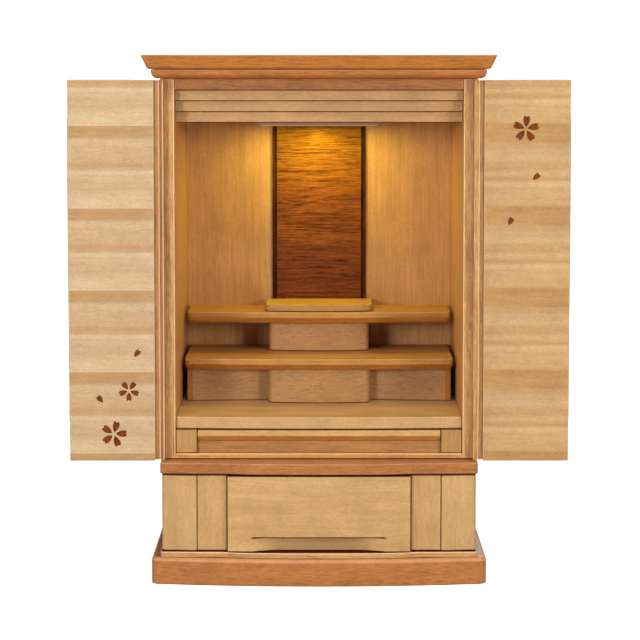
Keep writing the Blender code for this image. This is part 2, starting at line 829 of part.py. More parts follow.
def build_hinge(name, woods, side, towards, core, middle):
    """One half of a long butt hinge let into a leaf's edge, cut out of that leaf's core.

    towards is -1 for the leaf in front of the fold axis, which has the two end knuckles,
    and +1 for the one behind it, which has the middle knuckle.
    """
    edge = FOLD_X - FOLD_GAP
    zs = (middle - HINGE_LENGTH / 2, middle + HINGE_LENGTH / 2)
    plate_near = FOLD_DEPTH + towards * (KNUCKLE_RADIUS + HINGE_PLAY + FOLD_GAP)
    plate_far = plate_near + towards * HINGE_PLATE_WIDTH
    plate_xs = (side * edge, side * (edge - HINGE_PLATE))
    plate = block(name, woods["brass"], plate_xs, sorted((plate_near, plate_far)), zs)
    third = HINGE_LENGTH / 3
    if towards < 0:
        spans = [(zs[0], zs[0] + third - FOLD_GAP), (zs[1] - third + FOLD_GAP, zs[1])]
    else:
        spans = [(zs[0] + third, zs[1] - third)]
    axis = (side * FOLD_X, FOLD_DEPTH)
    for number, span in enumerate(spans):
        tab_depths = sorted((FOLD_DEPTH + towards * FOLD_GAP, plate_near + towards * HINGE_PLAY))
        tab = block(f"{name}_tab_{number}", None, plate_xs, tab_depths, span)
        knuckle = cylinder(f"{name}_knuckle_{number}", None, KNUCKLE_RADIUS, axis, span, sides=12)
        combine(plate, tab, "UNION")
        combine(plate, knuckle, "UNION")
    room = HINGE_PLAY + FOLD_GAP
    cut_zs = (zs[0] - FOLD_GAP, zs[1] + FOLD_GAP)
    mortise = block(
        f"{name}_mortise_cutter",
        None,
        (side * (edge + room), side * (edge - HINGE_PLATE - FOLD_GAP)),
        sorted((FOLD_DEPTH - towards * room, plate_far + towards * FOLD_GAP)),
        cut_zs,
    )
    clearance = cylinder(
        f"{name}_knuckle_cutter", None, KNUCKLE_RADIUS + HINGE_PLAY, axis, cut_zs
    )
    combine(core, mortise, "DIFFERENCE")
    combine(core, clearance, "DIFFERENCE")
    return plate


def build_door(woods, side, label):
    """One bi-fold door, open: the first leaf beside the post, the second folded behind it."""
    front = PIVOT_DEPTH - LEAF_THICKNESS / 2
    outer = PIVOT_DEPTH + LEAF_THICKNESS / 2
    facing_zs = (BELT_TOP + LEAF_BOTTOM_GAP, MOULDING_BOTTOM - LEAF_TOP_GAP)
    core_zs = (facing_zs[0] + CORE_SHORTER, facing_zs[1] - CORE_SHORTER)
    near = PIVOT_X - LEAF_EDGE_PAST_PIVOT
    far = FOLD_X - FOLD_GAP
    core = block(
        f"{label}_leaf_core",
        woods["frame"],
        (side * near, side * far),
        (outer - LEAF_CORE, outer),
        core_zs,
        arris=ARRIS,
    )
    facing = block(
        f"{label}_leaf_facing",
        woods["light"],
        (side * (near + STILE_WIDTH), side * far),
        (front, front + LEAF_FACING),
        facing_zs,
        arris=FINE_ARRIS,
    )
    rod_zs = (BELT_TOP - ROD_IN_SOCKET, MOULDING_BOTTOM + ROD_IN_SOCKET)
    centre = (side * PIVOT_X, PIVOT_DEPTH)
    rod = cylinder(f"{label}_pivot_rod", woods["brass"], ROD_RADIUS, centre, rod_zs, sides=12)
    bore = cylinder(f"{label}_rod_bore_cutter", None, ROD_RADIUS + SEAM, centre, rod_zs)
    combine(core, bore, "DIFFERENCE")

    behind = FOLD_DEPTH + FOLD_GAP
    leaf_width = PIVOT_X - FIRST_LEAF_REACH - FOLD_GAP - MEETING_GAP
    fold_near = far - leaf_width
    fold_core = block(
        f"{label}_fold_core",
        woods["frame"],
        (side * fold_near, side * far),
        (behind, behind + LEAF_CORE),
        core_zs,
        arris=ARRIS,
    )
    fold_facing = block(
        f"{label}_fold_facing",
        woods["light"],
        (side * fold_near, side * far),
        (behind + LEAF_CORE + SEAM, behind + LEAF_THICKNESS),
        facing_zs,
        arris=FINE_ARRIS,
    )
    middle = (facing_zs[0] + facing_zs[1]) / 2
    first_half = build_hinge(f"{label}_hinge_outer", woods, side, -1, core, middle)
    second_half = build_hinge(f"{label}_hinge_inner", woods, side, 1, fold_core, middle)

    pivot = make_empty(f"{label}_door_pivot", side * PIVOT_X, PIVOT_DEPTH, middle)
    fold = make_empty(f"{label}_door_fold", 0.0, 0.0, 0.0)
    fold.parent = pivot
    fold.location = (side * FIRST_LEAF_REACH, FOLD_DEPTH - PIVOT_DEPTH, 0.0)
    pivot_at = (side * PIVOT_X, y_at(PIVOT_DEPTH), middle)
    fold_at = (side * FOLD_X, y_at(FOLD_DEPTH), middle)
    hang_on([core, facing, rod, first_half], pivot, pivot_at)
    hang_on([fold_core, fold_facing, second_half], fold, fold_at)


def main():
    for thing in list(bpy.data.objects):
        bpy.data.objects.remove(thing, do_unlink=True)
    woods = make_materials()
    build_plinth(woods)
    build_base(woods)
    build_belt(woods)
    build_sill_and_guides(woods)
    build_body(woods)
    build_head(woods)
    build_lamp(woods)
    build_centre_panel(woods)
    build_shelves(woods)
    build_crown(woods)
    drawer = build_drawer(woods)
    tray = build_tray(woods)
    for name, pieces in (("drawer_slide", drawer), ("tray_slide", tray)):
        empty = make_empty(name, 0.0, 0.0, 0.0)
        hang_on(pieces, empty, (0.0, y_at(0.0), 0.0))
    for side, label in ((-1, "left"), (1, "right")):
        build_door(woods, side, label)


main()
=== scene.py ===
"""Finish, mouldings, inlay, lamp light and stage of the household altar cabinet.

Metres, +Z up, the front faces -Y. Every size that the construction sets is read from the frame.
"""

import math

import bmesh
import bpy
from bpy.props import FloatProperty, FloatVectorProperty, IntProperty, PointerProperty
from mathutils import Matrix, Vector


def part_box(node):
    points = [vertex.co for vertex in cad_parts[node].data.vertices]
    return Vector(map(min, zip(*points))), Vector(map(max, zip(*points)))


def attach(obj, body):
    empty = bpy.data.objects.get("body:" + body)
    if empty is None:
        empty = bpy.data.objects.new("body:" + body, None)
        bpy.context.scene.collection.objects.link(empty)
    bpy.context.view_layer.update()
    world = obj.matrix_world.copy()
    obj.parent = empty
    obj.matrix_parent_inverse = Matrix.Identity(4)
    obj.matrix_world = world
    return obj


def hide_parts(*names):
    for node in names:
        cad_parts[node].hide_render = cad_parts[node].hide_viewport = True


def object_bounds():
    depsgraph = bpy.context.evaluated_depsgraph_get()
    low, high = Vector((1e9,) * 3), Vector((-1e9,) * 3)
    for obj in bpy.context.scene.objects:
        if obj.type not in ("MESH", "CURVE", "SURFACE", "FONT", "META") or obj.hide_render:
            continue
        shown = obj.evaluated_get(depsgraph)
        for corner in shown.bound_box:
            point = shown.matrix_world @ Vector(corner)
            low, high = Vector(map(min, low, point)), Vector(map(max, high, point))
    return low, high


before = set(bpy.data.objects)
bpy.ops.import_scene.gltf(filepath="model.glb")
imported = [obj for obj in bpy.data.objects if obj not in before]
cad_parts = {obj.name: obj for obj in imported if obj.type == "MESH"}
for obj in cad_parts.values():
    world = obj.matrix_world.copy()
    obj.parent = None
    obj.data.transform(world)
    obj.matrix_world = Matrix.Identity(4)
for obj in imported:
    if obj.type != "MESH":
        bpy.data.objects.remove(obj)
CAD_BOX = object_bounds()

bl_info = {
    "name": "Household Altar Cabinet Finish",
    "version": (1, 0, 0),
    "blender": (4, 5, 0),
    "location": "3D View > Sidebar > Altar Cabinet",
    "description": "Timber finishes, mouldings, blossom inlay and studio for the altar cabinet",
    "category": "Object",
}

TINY = 0.00005
MERGE = TINY / 5
# Least part of a face's normal along an axis for it to be a flat side, a level top, and a slope
FLAT = 0.985
LEVEL = 0.97
SLOPED = 0.15
CREASE = math.radians(38)
APRON_RETURN = 0.0066
# Painted shade on faces that look downward
UNDERSIDE_SHADE = (0.88, 0.66, 0.38)
# Colour of painted shade: on dark arrises, in gaps and along the aprons' foot
PAINTED_SHADE_TINT = (0.16, 0.075, 0.035)
PORE_TINT = (0.35, 0.22, 0.14)
WHITE = (1.0, 1.0, 1.0)
HORIZONTAL = (0.0, 0.0, 0.0)
UPRIGHT = (0.0, math.pi / 2, 0.0)
FRONT_TO_BACK = (0.0, 0.0, -math.pi / 2)
SIDES = ((-1, "left"), (1, "right"))
# Each wood: name, where it is, its pale ground and its deep growth
WOODS = (
    ("left_door", "Left doors", (0.600, 0.424, 0.248), (0.43, 0.222, 0.076)),
    ("right_door", "Right doors", (0.570, 0.366, 0.175), (0.41, 0.198, 0.054)),
    ("ash", "Drawer, base strips and niche floor", (0.60, 0.368, 0.156), (0.42, 0.205, 0.060)),
    ("head", "Head boards", (0.565, 0.328, 0.140), (0.41, 0.192, 0.058)),
    ("tray", "Pull-out tray", (0.635, 0.372, 0.134), (0.48, 0.228, 0.064)),
    ("guide", "Blocks beside the tray", (0.50, 0.270, 0.092), (0.36, 0.160, 0.043)),
    ("honey", "Centre blocks and aprons", (0.455, 0.236, 0.088), (0.320, 0.142, 0.042)),
    ("shelf", "Shelves", (0.500, 0.244, 0.062), (0.360, 0.148, 0.030)),
    ("dais", "Dais", (0.610, 0.330, 0.082), (0.440, 0.200, 0.042)),
    ("crown", "Crown's upper board", (0.510, 0.200, 0.036), (0.25, 0.072, 0.011)),
    ("walnut", "Moulding, belt and plinth", (0.48, 0.185, 0.048), (0.22, 0.063, 0.014)),
    ("post", "Posts and fillet", (0.60, 0.330, 0.128), (0.31, 0.122, 0.034)),
    ("transom", "Transom", (0.42, 0.171, 0.048), (0.23, 0.076, 0.018)),
    ("rail", "Rail under the tray", (0.470, 0.228, 0.072), (0.280, 0.105, 0.028)),
    ("sill", "Sill", (0.64, 0.330, 0.105), (0.40, 0.170, 0.040)),
    ("stile", "Leaf cores, their mouldings and the sides", (0.52, 0.255, 0.095), (0.27, 0.092, 0.026)),
    ("wall", "Niche walls and back", (0.58, 0.300, 0.110), (0.37, 0.165, 0.048)),
    ("rosewood", "Centre panel", (0.300, 0.112, 0.007), (0.040, 0.008, 0.001)),
    ("inlay", "Blossoms and their dark rims", (0.235, 0.050, 0.010), (0.060, 0.009, 0.003)),
)


def number_property(name, description, default, **kind):
    return FloatProperty(name=name, description=description, default=default, **kind)


def length_property(name, description, default):
    return number_property(name, description, default, subtype="DISTANCE", unit="LENGTH", min=0.0)


def colour_property(name, description, default):
    return FloatVectorProperty(
        name=name, description=description, subtype="COLOR", size=3, min=0.0, max=1.0, default=default
    )


class AltarTimber(bpy.types.PropertyGroup):
    """Size of the timbers' figure, and the two colours of each wood, which the loop below adds."""

    figure_width: length_property("Figure width", "Width of the broad tones in a board", 0.016)
    streak_width: length_property("Streak width", "Width of the growth lines", 0.0027)
    fibre_width: length_property("Fibre width", "Width of the finest fibres", 0.0017)
    board_height: length_property("Veneer height", "Height of one board of the door veneer", 0.0965)


for wood, label, pale, deep in WOODS:
    AltarTimber.__annotations__[wood] = colour_property(label, "Pale ground of this wood", pale)
    AltarTimber.__annotations__[wood + "_deep"] = colour_property(label + ", deep", "Deep growth", deep)


class AltarEdges(bpy.types.PropertyGroup):
    """Roundings and moulded edges."""

    board: length_property("Board arris", "Rounding of plain boards", 0.0009)
    post: length_property("Post arris", "Rounding of the posts and the sill", 0.0013)
    facing: length_property("Facing arris", "Rounding of door facings", 0.0007)
    steps: IntProperty(name="Edge steps", description="Faces across one rounding", min=1, max=8, default=3)


class AltarBlossoms(bpy.types.PropertyGroup):
    """The cherry blossoms let into the doors."""

    petal_width: number_property("Petal width", "Half-width over length", 0.375)
    notch: number_property("Notch", "Depth of the notch over petal length", 0.135)
    heart: number_property("Open heart", "Open middle over the blossom's radius", 0.16)
    border: length_property("Dark border", "Width of the darker rim of each petal", 0.0006)
    thickness: length_property("Inlay thickness", "Thickness of the inlaid wood", 0.0006)
    proud: length_property("Inlay proud", "Height of the lacquered inlay over the facing", 0.00012)


class AltarStudio(bpy.types.PropertyGroup):
    """Camera, studio light and the lamp in the niche."""

    distance: length_property("Camera distance", "From the posts' front to the camera", 2.47)
    height: length_property("Camera height", "Above the floor", 0.620)
    pitch: number_property("Camera pitch", "Downward", math.radians(4.08), subtype="ANGLE")
    lens: number_property("Lens", "Focal length in millimetres", 118.4)
    shift_x: number_property("Shift across", "Share of the frame", 0.00154)
    shift_y: number_property("Shift up", "Share of the frame", -0.1747)
    sky: number_property("Ambient", "Strength of the white surroundings", 0.16)
    backdrop: number_property("Backdrop", "Brightness of the plain background", 1.25)
    key_left: number_property("Left softbox", "Watts", 27.5, subtype="POWER")
    key_right: number_property("Right softbox", "Watts", 22.3, subtype="POWER")
    key_size: length_property("Softbox size", "Side of the two softboxes", 0.48)
    azimuth_left: number_property("Left azimuth", "From the front", math.radians(30), subtype="ANGLE")
    azimuth_right: number_property("Right azimuth", "From the front", math.radians(36), subtype="ANGLE")
    top: number_property("Top softbox", "Watts", 20.0, subtype="POWER")
    rear: number_property("Rear softbox", "Watts", 26.0, subtype="POWER")
    lamp: number_property("Niche lamp", "Watts for each outer light", 0.051)
    lamp_middle: number_property("Middle lamp", "Strength over the outer ones", 5.3)
    lamp_colour: colour_property("Lamp colour", "Warm light of the niche lamp", (1.0, 0.90, 0.05))


# Shader nodes


def feed(tree, socket, value):
    """Link an input, or set it to a plain value; a colour may leave out its alpha."""
    if isinstance(value, bpy.types.NodeSocket):
        tree.links.new(value, socket)
    elif socket.type == "RGBA" and len(value) == 3:
        socket.default_value = (*value, 1.0)
    else:
        socket.default_value = value


def set_inputs(tree, node, **inputs):
    """Link or set a node's named inputs. Underscores stand for spaces."""
    for key, value in inputs.items():
        feed(tree, node.inputs[key.replace("_", " ")], value)


def place(tree, kind, settings=None, **inputs):
    """A shader node with its settings and its inputs."""
    node = tree.nodes.new(kind)
    for key, value in (settings or {}).items():
        setattr(node, key, value)
    set_inputs(tree, node, **inputs)
    return node


def calculate(tree, operation, *values, clamp=False, kind="ShaderNodeMath"):
    """The result of a Math node, or of a Vector Math node."""
    node = place(tree, kind, {"operation": operation})
    if clamp:
        node.use_clamp = True
    for socket, value in zip(node.inputs, values):
        feed(tree, socket, value)
    return node.outputs[0]


def blend(tree, factor, first, second, mode="MIX"):
    """Mix two colours; each may be a socket or an (r, g, b)."""
    node = place(tree, "ShaderNodeMix", {"data_type": "RGBA", "blend_type": mode, "clamp_factor": True})
    for index, value in ((0, factor), (6, first), (7, second)):
        feed(tree, node.inputs[index], value)
    return node.outputs[2]


def map_range(tree, value, low, high, to_low=0.0, to_high=1.0):
    limits = {"From_Min": low, "From_Max": high, "To_Min": to_low, "To_Max": to_high}
    return place(tree, "ShaderNodeMapRange", {"clamp": True}, Value=value, **limits).outputs["Result"]


def combine(tree, x, y, z):
    return place(tree, "ShaderNodeCombineXYZ", X=x, Y=y, Z=z).outputs[0]


def part_along(tree, vector, axis):
    return place(tree, "ShaderNodeSeparateXYZ", Vector=vector).outputs[axis]


def drawn_noise(tree, vector, width, aspect, detail=2.0, roughness=0.5, shift=(0.0, 0.0, 0.0)):
    """Noise that is width across the grain and drawn out by 1 / aspect along it, centred on zero."""
    across = calculate(tree, "DIVIDE", 1.0, width)
    stretch = combine(tree, calculate(tree, "MULTIPLY", across, aspect), across, across)
    scaled = calculate(tree, "MULTIPLY", vector, stretch, kind="ShaderNodeVectorMath")
    moved = calculate(tree, "ADD", scaled, shift, kind="ShaderNodeVectorMath")
    noise = place(tree, "ShaderNodeTexNoise", Vector=moved, Scale=1.0, Detail=detail, Roughness=roughness)
    return calculate(tree, "SUBTRACT", noise.outputs[0], 0.5)


def new_group(name, inputs, outputs):
    """A shader node group: a vector, the inputs by their defaults, and the outputs by their kinds."""
    group = bpy.data.node_groups.new(name, "ShaderNodeTree")
    sockets = [("INPUT", "Vector", "Vector", None)]
    for key, default in inputs.items():
        sockets.append(("INPUT", key, "Color" if isinstance(default, tuple) else "Float", default))
    sockets += [("OUTPUT", key, kind, None) for key, kind in outputs.items()]
    for direction, key, kind, default in sockets:
        socket = group.interface.new_socket(name=key, in_out=direction, socket_type="NodeSocket" + kind)
        if default is not None:
            socket.default_value = default
    return group, group.nodes.new("NodeGroupInput").outputs, group.nodes.new("NodeGroupOutput")


def build_timber_grain():
    """Wood grain that runs along the vector's X."""
    tree, given, result = new_group(
        "timber_grain",
        {
            "Ground": (0.6, 0.4, 0.2, 1.0), "Growth": (0.4, 0.2, 0.1, 1.0), "Balance": 0.35,
            "Figure Width": 0.016, "Figure": 0.6, "Streak Width": 0.0034, "Streaks": 0.6,
            "Fibre Width": 0.0009, "Fibres": 0.5, "Pores": 0.3, "Wave": 0.004,
        },
        {"Color": "Color", "Height": "Float", "Shine": "Float"},
    )
    waver = drawn_noise(tree, given["Vector"], 0.060, 0.35, detail=1.0)
    bend = calculate(tree, "MULTIPLY", calculate(tree, "MULTIPLY", waver, given["Wave"]), 4.0)
    bend = combine(tree, 0.0, bend, bend)
    bent = calculate(tree, "ADD", given["Vector"], bend, kind="ShaderNodeVectorMath")

    figure = drawn_noise(tree, bent, given["Figure Width"], 0.07, detail=1.5)
    streak = drawn_noise(tree, bent, given["Streak Width"], 0.030, detail=3.0, roughness=0.62)
    lines = drawn_noise(tree, bent, given["Streak Width"], 0.016, roughness=0.7, shift=(3.1, 17.3, 5.9))
    fibre = drawn_noise(tree, bent, given["Fibre Width"], 0.14, roughness=0.6)
    dashes = drawn_noise(tree, bent, given["Fibre Width"], 0.055, detail=0.0, shift=(7.7, 2.9, 11.3))

    tone = calculate(tree, "MULTIPLY", calculate(tree, "MULTIPLY", figure, given["Figure"]), 2.4)
    for noise, share, weight in ((streak, "Streaks", 2.2), (fibre, "Fibres", 2.6)):
        shared = calculate(tree, "MULTIPLY", noise, given[share])
        tone = calculate(tree, "MULTIPLY_ADD", shared, weight, tone)
    sharp = calculate(tree, "MULTIPLY", map_range(tree, lines, 0.06, 0.20), given["Streaks"])
    tone = calculate(tree, "ADD", tone, calculate(tree, "MULTIPLY", sharp, 0.45))
    tone = calculate(tree, "ADD", tone, given["Balance"], clamp=True)
    wood = blend(tree, tone, given["Ground"], given["Growth"])
    pore = calculate(tree, "MULTIPLY", map_range(tree, dashes, 0.13, 0.24), given["Pores"])
    wood = blend(tree, pore, wood, PORE_TINT, "MULTIPLY")
    height = calculate(tree, "SUBTRACT", calculate(tree, "MULTIPLY_ADD", streak, 0.5, fibre), pore)
    shine = calculate(tree, "MULTIPLY_ADD", pore, 0.25, tone)
    set_inputs(tree, result, Color=wood, Height=height, Shine=shine)


def build_laid_boards():
    """Veneer laid in equal boards, one above the other, that all show the same figure."""
    tree, given, result = new_group(
        "laid_boards",
        {"Board Height": 0.0965, "Joint Level": 0.0},
        {"Vector": "Vector", "Phase": "Float", "Joint": "Float"},
    )
    parts = place(tree, "ShaderNodeSeparateXYZ", Vector=given["Vector"]).outputs
    drop = calculate(tree, "SUBTRACT", given["Joint Level"], parts["Z"])
    boards = calculate(tree, "DIVIDE", drop, given["Board Height"])
    phase = calculate(tree, "FRACT", boards)
    across = calculate(tree, "MULTIPLY", phase, given["Board Height"])
    slip = calculate(tree, "MULTIPLY", calculate(tree, "FLOOR", boards), 0.004)
    laid = combine(tree, calculate(tree, "ADD", parts["X"], slip), parts["Y"], across)
    joint = map_range(tree, phase, 0.0, 0.006, 1.0, 0.0)
    set_inputs(tree, result, Vector=laid, Phase=phase, Joint=joint)


def build_lacquer():
    """Uneven lacquer: soft cloudiness and faint dust that change roughness and colour a little."""
    tree, given, result = new_group(
        "lacquer", {"Roughness": 0.4, "Shine": 0.5, "Cloud": 0.06}, {"Roughness": "Float", "Mottle": "Float"}
    )
    cloud = drawn_noise(tree, given["Vector"], 0.030, 0.8)
    speck = drawn_noise(tree, given["Vector"], 0.0020, 0.5, detail=1.0, roughness=0.7)
    level = calculate(tree, "ADD", given["Roughness"], calculate(tree, "MULTIPLY", cloud, given["Cloud"]))
    level = calculate(tree, "MULTIPLY_ADD", given["Shine"], 0.08, level, clamp=True)
    set_inputs(tree, result, Roughness=level, Mottle=calculate(tree, "MULTIPLY_ADD", speck, 0.9, cloud))


# Materials


def start_material(name):
    """A new material's tree, its shader and the Object coordinates."""
    material = bpy.data.materials.new(name)
    material.use_nodes = True
    tree = material.node_tree
    return tree, tree.nodes["Principled BSDF"], place(tree, "ShaderNodeTexCoord").outputs["Object"]


def turned(tree, vector, turn, seed):
    """Object coordinates turned so that X runs with the grain, moved by a seed to other timber."""
    moved = (0.731 * seed, 0.417 * seed, 0.293 * seed)
    return place(tree, "ShaderNodeMapping", Vector=vector, Rotation=turn, Location=moved).outputs[0]


def use_group(tree, name, vector, **values):
    settings = {"node_tree": bpy.data.node_groups[name]}
    return place(tree, "ShaderNodeGroup", settings, Vector=vector, **values).outputs


def lay_grain(tree, woods, vector, ground, growth, recipe, **more):
    """Timber grain by a recipe of balance, figure, streaks, fibres and pores."""
    kinds = ("Figure", "Streak", "Fibre")
    values = {f"{kind}_Width": getattr(woods, kind.lower() + "_width") for kind in kinds}
    values.update(zip(("Balance", "Figure", "Streaks", "Fibres", "Pores"), recipe))
    values.update(more)
    return use_group(tree, "timber_grain", vector, Ground=ground, Growth=growth, **values)


def tinted(colour, by, lift=0.0):
    """A colour times a number, or times an (r, g, b), raised by lift and never above one."""
    shares = by if isinstance(by, tuple) else (by, by, by)
    return tuple(min(1.0, part * share + lift) for part, share in zip(colour, shares))


# The face mark: painted highlight and painted shade on timber arrises, and the dark rim of each petal
def arris_light_and_rim(tree):
    return place(tree, "ShaderNodeAttribute", {"attribute_name": "arris"}).outputs["Fac"]


def lacquered(tree, shader, vector, colour, grain, edge, roughness=0.42, coat=0.06, specular=0.25):
    """The shared end of every timber: painted highlights and painted shade on the arrises, painted shade on
    undersides, lacquer, a little mottle and bump.
    """
    edge_light_and_shade = arris_light_and_rim(tree)
    # Above zero the mark paints a highlight towards the edge colour
    colour = blend(tree, calculate(tree, "MULTIPLY", edge_light_and_shade, 0.8, clamp=True), colour, edge)
    # Below zero the mark paints shade
    arris_shade = calculate(tree, "MULTIPLY", edge_light_and_shade, -1.0, clamp=True)
    colour = blend(tree, arris_shade, colour, PAINTED_SHADE_TINT, "MULTIPLY")
    # Faces that look downward take painted shade
    upward = part_along(tree, place(tree, "ShaderNodeNewGeometry").outputs["Normal"], "Z")
    below = map_range(tree, upward, -0.55, -0.30, 1.0, 0.0)
    colour = blend(tree, below, colour, UNDERSIDE_SHADE, "MULTIPLY")
    film = use_group(tree, "lacquer", vector, Roughness=roughness, Shine=grain["Shine"])
    light = map_range(tree, film["Mottle"], -0.30, 0.30, 0.88, 1.12)
    shaded = blend(tree, 1.0, colour, combine(tree, light, light, light), "MULTIPLY")
    bump = place(tree, "ShaderNodeBump", Height=grain["Height"], Strength=0.45, Distance=0.00012)
    set_inputs(tree, shader, Base_Color=shaded, Roughness=film["Roughness"], Normal=bump.outputs[0])
    set_inputs(tree, shader, Coat_Weight=coat, Coat_Roughness=0.28, Specular_IOR_Level=specular)


def build_timber(woods, name, wood, turn, seed, recipe, coat=0.06, specular=0.25, **more):
    """A lacquered timber with its grain along one axis."""
    tree, shader, place_on = start_material(name)
    vector = turned(tree, place_on, turn, seed)
    ground = getattr(woods, wood)
    grain = lay_grain(tree, woods, vector, ground, getattr(woods, wood + "_deep"), recipe, **more)
    edge = tinted(ground, 1.35, 0.08)
    lacquered(tree, shader, vector, grain["Color"], grain, edge, coat=coat, specular=specular)


# Tone down one board of the door veneer, from its upper joint to its lower: share of the
# board's height, and how far the wood leans to pale (above a half) or to deep
VENEER_TONES = {
    "left": (
        (0.00, 0.22), (0.12, 0.26), (0.17, 0.60), (0.25, 0.56), (0.33, 0.47), (0.42, 0.42), (0.48, 0.26),
        (0.53, 0.32), (0.56, 0.90), (0.60, 0.55), (0.72, 0.48), (0.86, 0.60), (1.00, 0.68),
    ),
    "right": (
        (0.00, 0.24), (0.18, 0.30), (0.30, 0.50), (0.39, 0.72), (0.48, 0.50), (0.55, 0.34), (0.60, 0.56),
        (0.68, 0.33), (0.73, 0.80), (0.78, 0.50), (0.90, 0.54), (1.00, 0.46),
    ),
}


def build_inlay(woods):
    """Dark red wood of the petals, almost black at their rims."""
    tree, shader, place_on = start_material("inlay_timber")
    vector = turned(tree, place_on, UPRIGHT, 25)
    fine = {"Figure_Width": 0.004, "Streak_Width": 0.0014, "Fibre_Width": 0.0007, "Wave": 0.002}
    grain = lay_grain(tree, woods, vector, woods.inlay, woods.inlay_deep, (0.16, 0.5, 0.7, 0.5, 0.3), **fine)
    colour = blend(tree, arris_light_and_rim(tree), woods.inlay_deep, grain["Color"])
    bump = place(tree, "ShaderNodeBump", Height=grain["Height"], Strength=0.4, Distance=0.00008)
    set_inputs(tree, shader, Base_Color=colour, Normal=bump.outputs[0])
    set_inputs(tree, shader, Roughness=0.55, Specular_IOR_Level=0.06)


def build_door_veneer(side, woods, joint_level, seed):
    """Pale veneer in equal boards, each running from deep at its upper joint to pale below."""
    tree, shader, place_on = start_material(side + "_veneer")
    pale = getattr(woods, side + "_door")
    deep = getattr(woods, side + "_door_deep")
    levels = {"Board_Height": woods.board_height, "Joint_Level": joint_level}
    boards = use_group(tree, "laid_boards", place_on, **levels)
    vector = turned(tree, boards["Vector"], HORIZONTAL, seed)
    ramp_node = place(tree, "ShaderNodeValToRGB", Fac=boards["Phase"])
    ramp = ramp_node.color_ramp
    while len(ramp.elements) < len(VENEER_TONES[side]):
        ramp.elements.new(0.5)
    for element, (position, tone) in zip(ramp.elements, VENEER_TONES[side]):
        element.position = position
        element.color = (tone, tone, tone, 1.0)
    waver = drawn_noise(tree, vector, 0.010, 0.05, detail=3.0)
    balance = calculate(tree, "SUBTRACT", 0.70, ramp_node.outputs[0])
    balance = calculate(tree, "MULTIPLY_ADD", waver, 0.5, calculate(tree, "MULTIPLY", balance, 1.7))
    recipe = (balance, 0.16, 0.24, 0.11, 0.08)
    widths = {"Figure_Width": 0.010, "Streak_Width": 0.0026, "Wave": 0.009}
    grain = lay_grain(tree, woods, vector, pale, deep, recipe, **widths)
    line = calculate(tree, "MULTIPLY", boards["Joint"], 0.35)
    jointed = blend(tree, line, grain["Color"], deep)
    lacquered(tree, shader, vector, jointed, grain, tinted(pale, 1.15), roughness=0.44, coat=0.05)


def build_apron(woods):
    """Honeyed ash whose outer return, where it turns the corner, is redder, with painted shade along its
    foot.
    """
    tree, shader, place_on = start_material("apron_timber")
    vector = turned(tree, place_on, HORIZONTAL, 13)
    ground = tinted(woods.honey, (1.08, 1.12, 1.25))
    recipe = (0.12, 0.2, 0.4, 0.5, 0.25)
    grain = lay_grain(tree, woods, vector, ground, woods.honey_deep, recipe, Streak_Width=0.0020, Wave=0.009)
    low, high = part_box("apron_right")
    aside = calculate(tree, "ABSOLUTE", part_along(tree, place_on, "X"))
    turn = high.x - APRON_RETURN
    returned = map_range(tree, aside, turn, turn + 2 * TINY)
    colour = blend(tree, returned, grain["Color"], tinted(woods.crown, 0.8))
    # Painted shade along the foot
    shade = map_range(tree, part_along(tree, place_on, "Z"), low.z, low.z + 0.0014, 0.9, 0.0)
    colour = blend(tree, shade, colour, PAINTED_SHADE_TINT, "MULTIPLY")
    lacquered(tree, shader, vector, colour, grain, tinted(woods.honey, 1.3))


def build_side_wall(woods):
    """A side board: pale veneer towards the niche, the doors' brown outside."""
    tree, shader, place_on = start_material("side_wall_timber")
    vector = turned(tree, place_on, UPRIGHT, 21)
    inner = lay_grain(tree, woods, vector, woods.wall, woods.wall_deep, (0.12, 0.22, 0.20, 0.20, 0.06))
    outer = lay_grain(tree, woods, vector, woods.stile, woods.stile_deep, (0.30, 0.60, 0.60, 0.30, 0.35))
    aside = calculate(tree, "ABSOLUTE", part_along(tree, place_on, "X"))
    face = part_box("side_panel_right")[1].x
    outside = map_range(tree, aside, face - 0.002, face - 0.001)
    colour = blend(tree, outside, inner["Color"], outer["Color"])
    lacquered(tree, shader, vector, colour, inner, tinted(woods.stile, 1.35, 0.08))


def build_centre_panel(woods):
    """Rosewood with fine level lines, with a painted pool of golden lamp light near its top and painted shade
    from its lower third down.
    """
    tree, shader, place_on = start_material("rosewood_timber")
    vector = turned(tree, place_on, HORIZONTAL, 23)
    low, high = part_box("centre_panel")
    height = part_along(tree, place_on, "Z")
    # Painted shade from the lower third down
    lower = map_range(tree, height, 0.64 * low.z + 0.36 * high.z, 0.70 * low.z + 0.30 * high.z)
    # Painted pool of golden lamp light near the top
    middle = map_range(tree, height, high.z - 0.045, high.z - 0.110)
    lamp_pool = blend(tree, middle, woods.rosewood, tinted(woods.rosewood, (0.95, 0.70, 1.2)))
    ground = blend(tree, lower, lamp_pool, tinted(woods.rosewood, (0.66, 0.45, 1.2)))
    recipe = (0.34, 0.35, 1.15, 0.45, 0.35)
    widths = {"Figure_Width": 0.030, "Streak_Width": 0.0017, "Fibre_Width": 0.0014}
    grain = lay_grain(tree, woods, vector, ground, woods.rosewood_deep, recipe, **widths)
    edge = tinted(woods.rosewood, 0.4)
    lacquered(tree, shader, vector, grain["Color"], grain, edge, coat=0.02, specular=0.08)


def build_brass():
    tree, shader, place_on = start_material("satin_brass")
    vector = turned(tree, place_on, UPRIGHT, 5)
    rough = map_range(tree, drawn_noise(tree, vector, 0.0004, 0.02), -0.3, 0.3, 0.24, 0.44)
    tint = map_range(tree, drawn_noise(tree, vector, 0.004, 0.5), -0.3, 0.3)
    colour = blend(tree, tint, (0.70, 0.50, 0.22), (0.55, 0.36, 0.13))
    set_inputs(tree, shader, Base_Color=colour, Roughness=rough, Metallic=1.0)


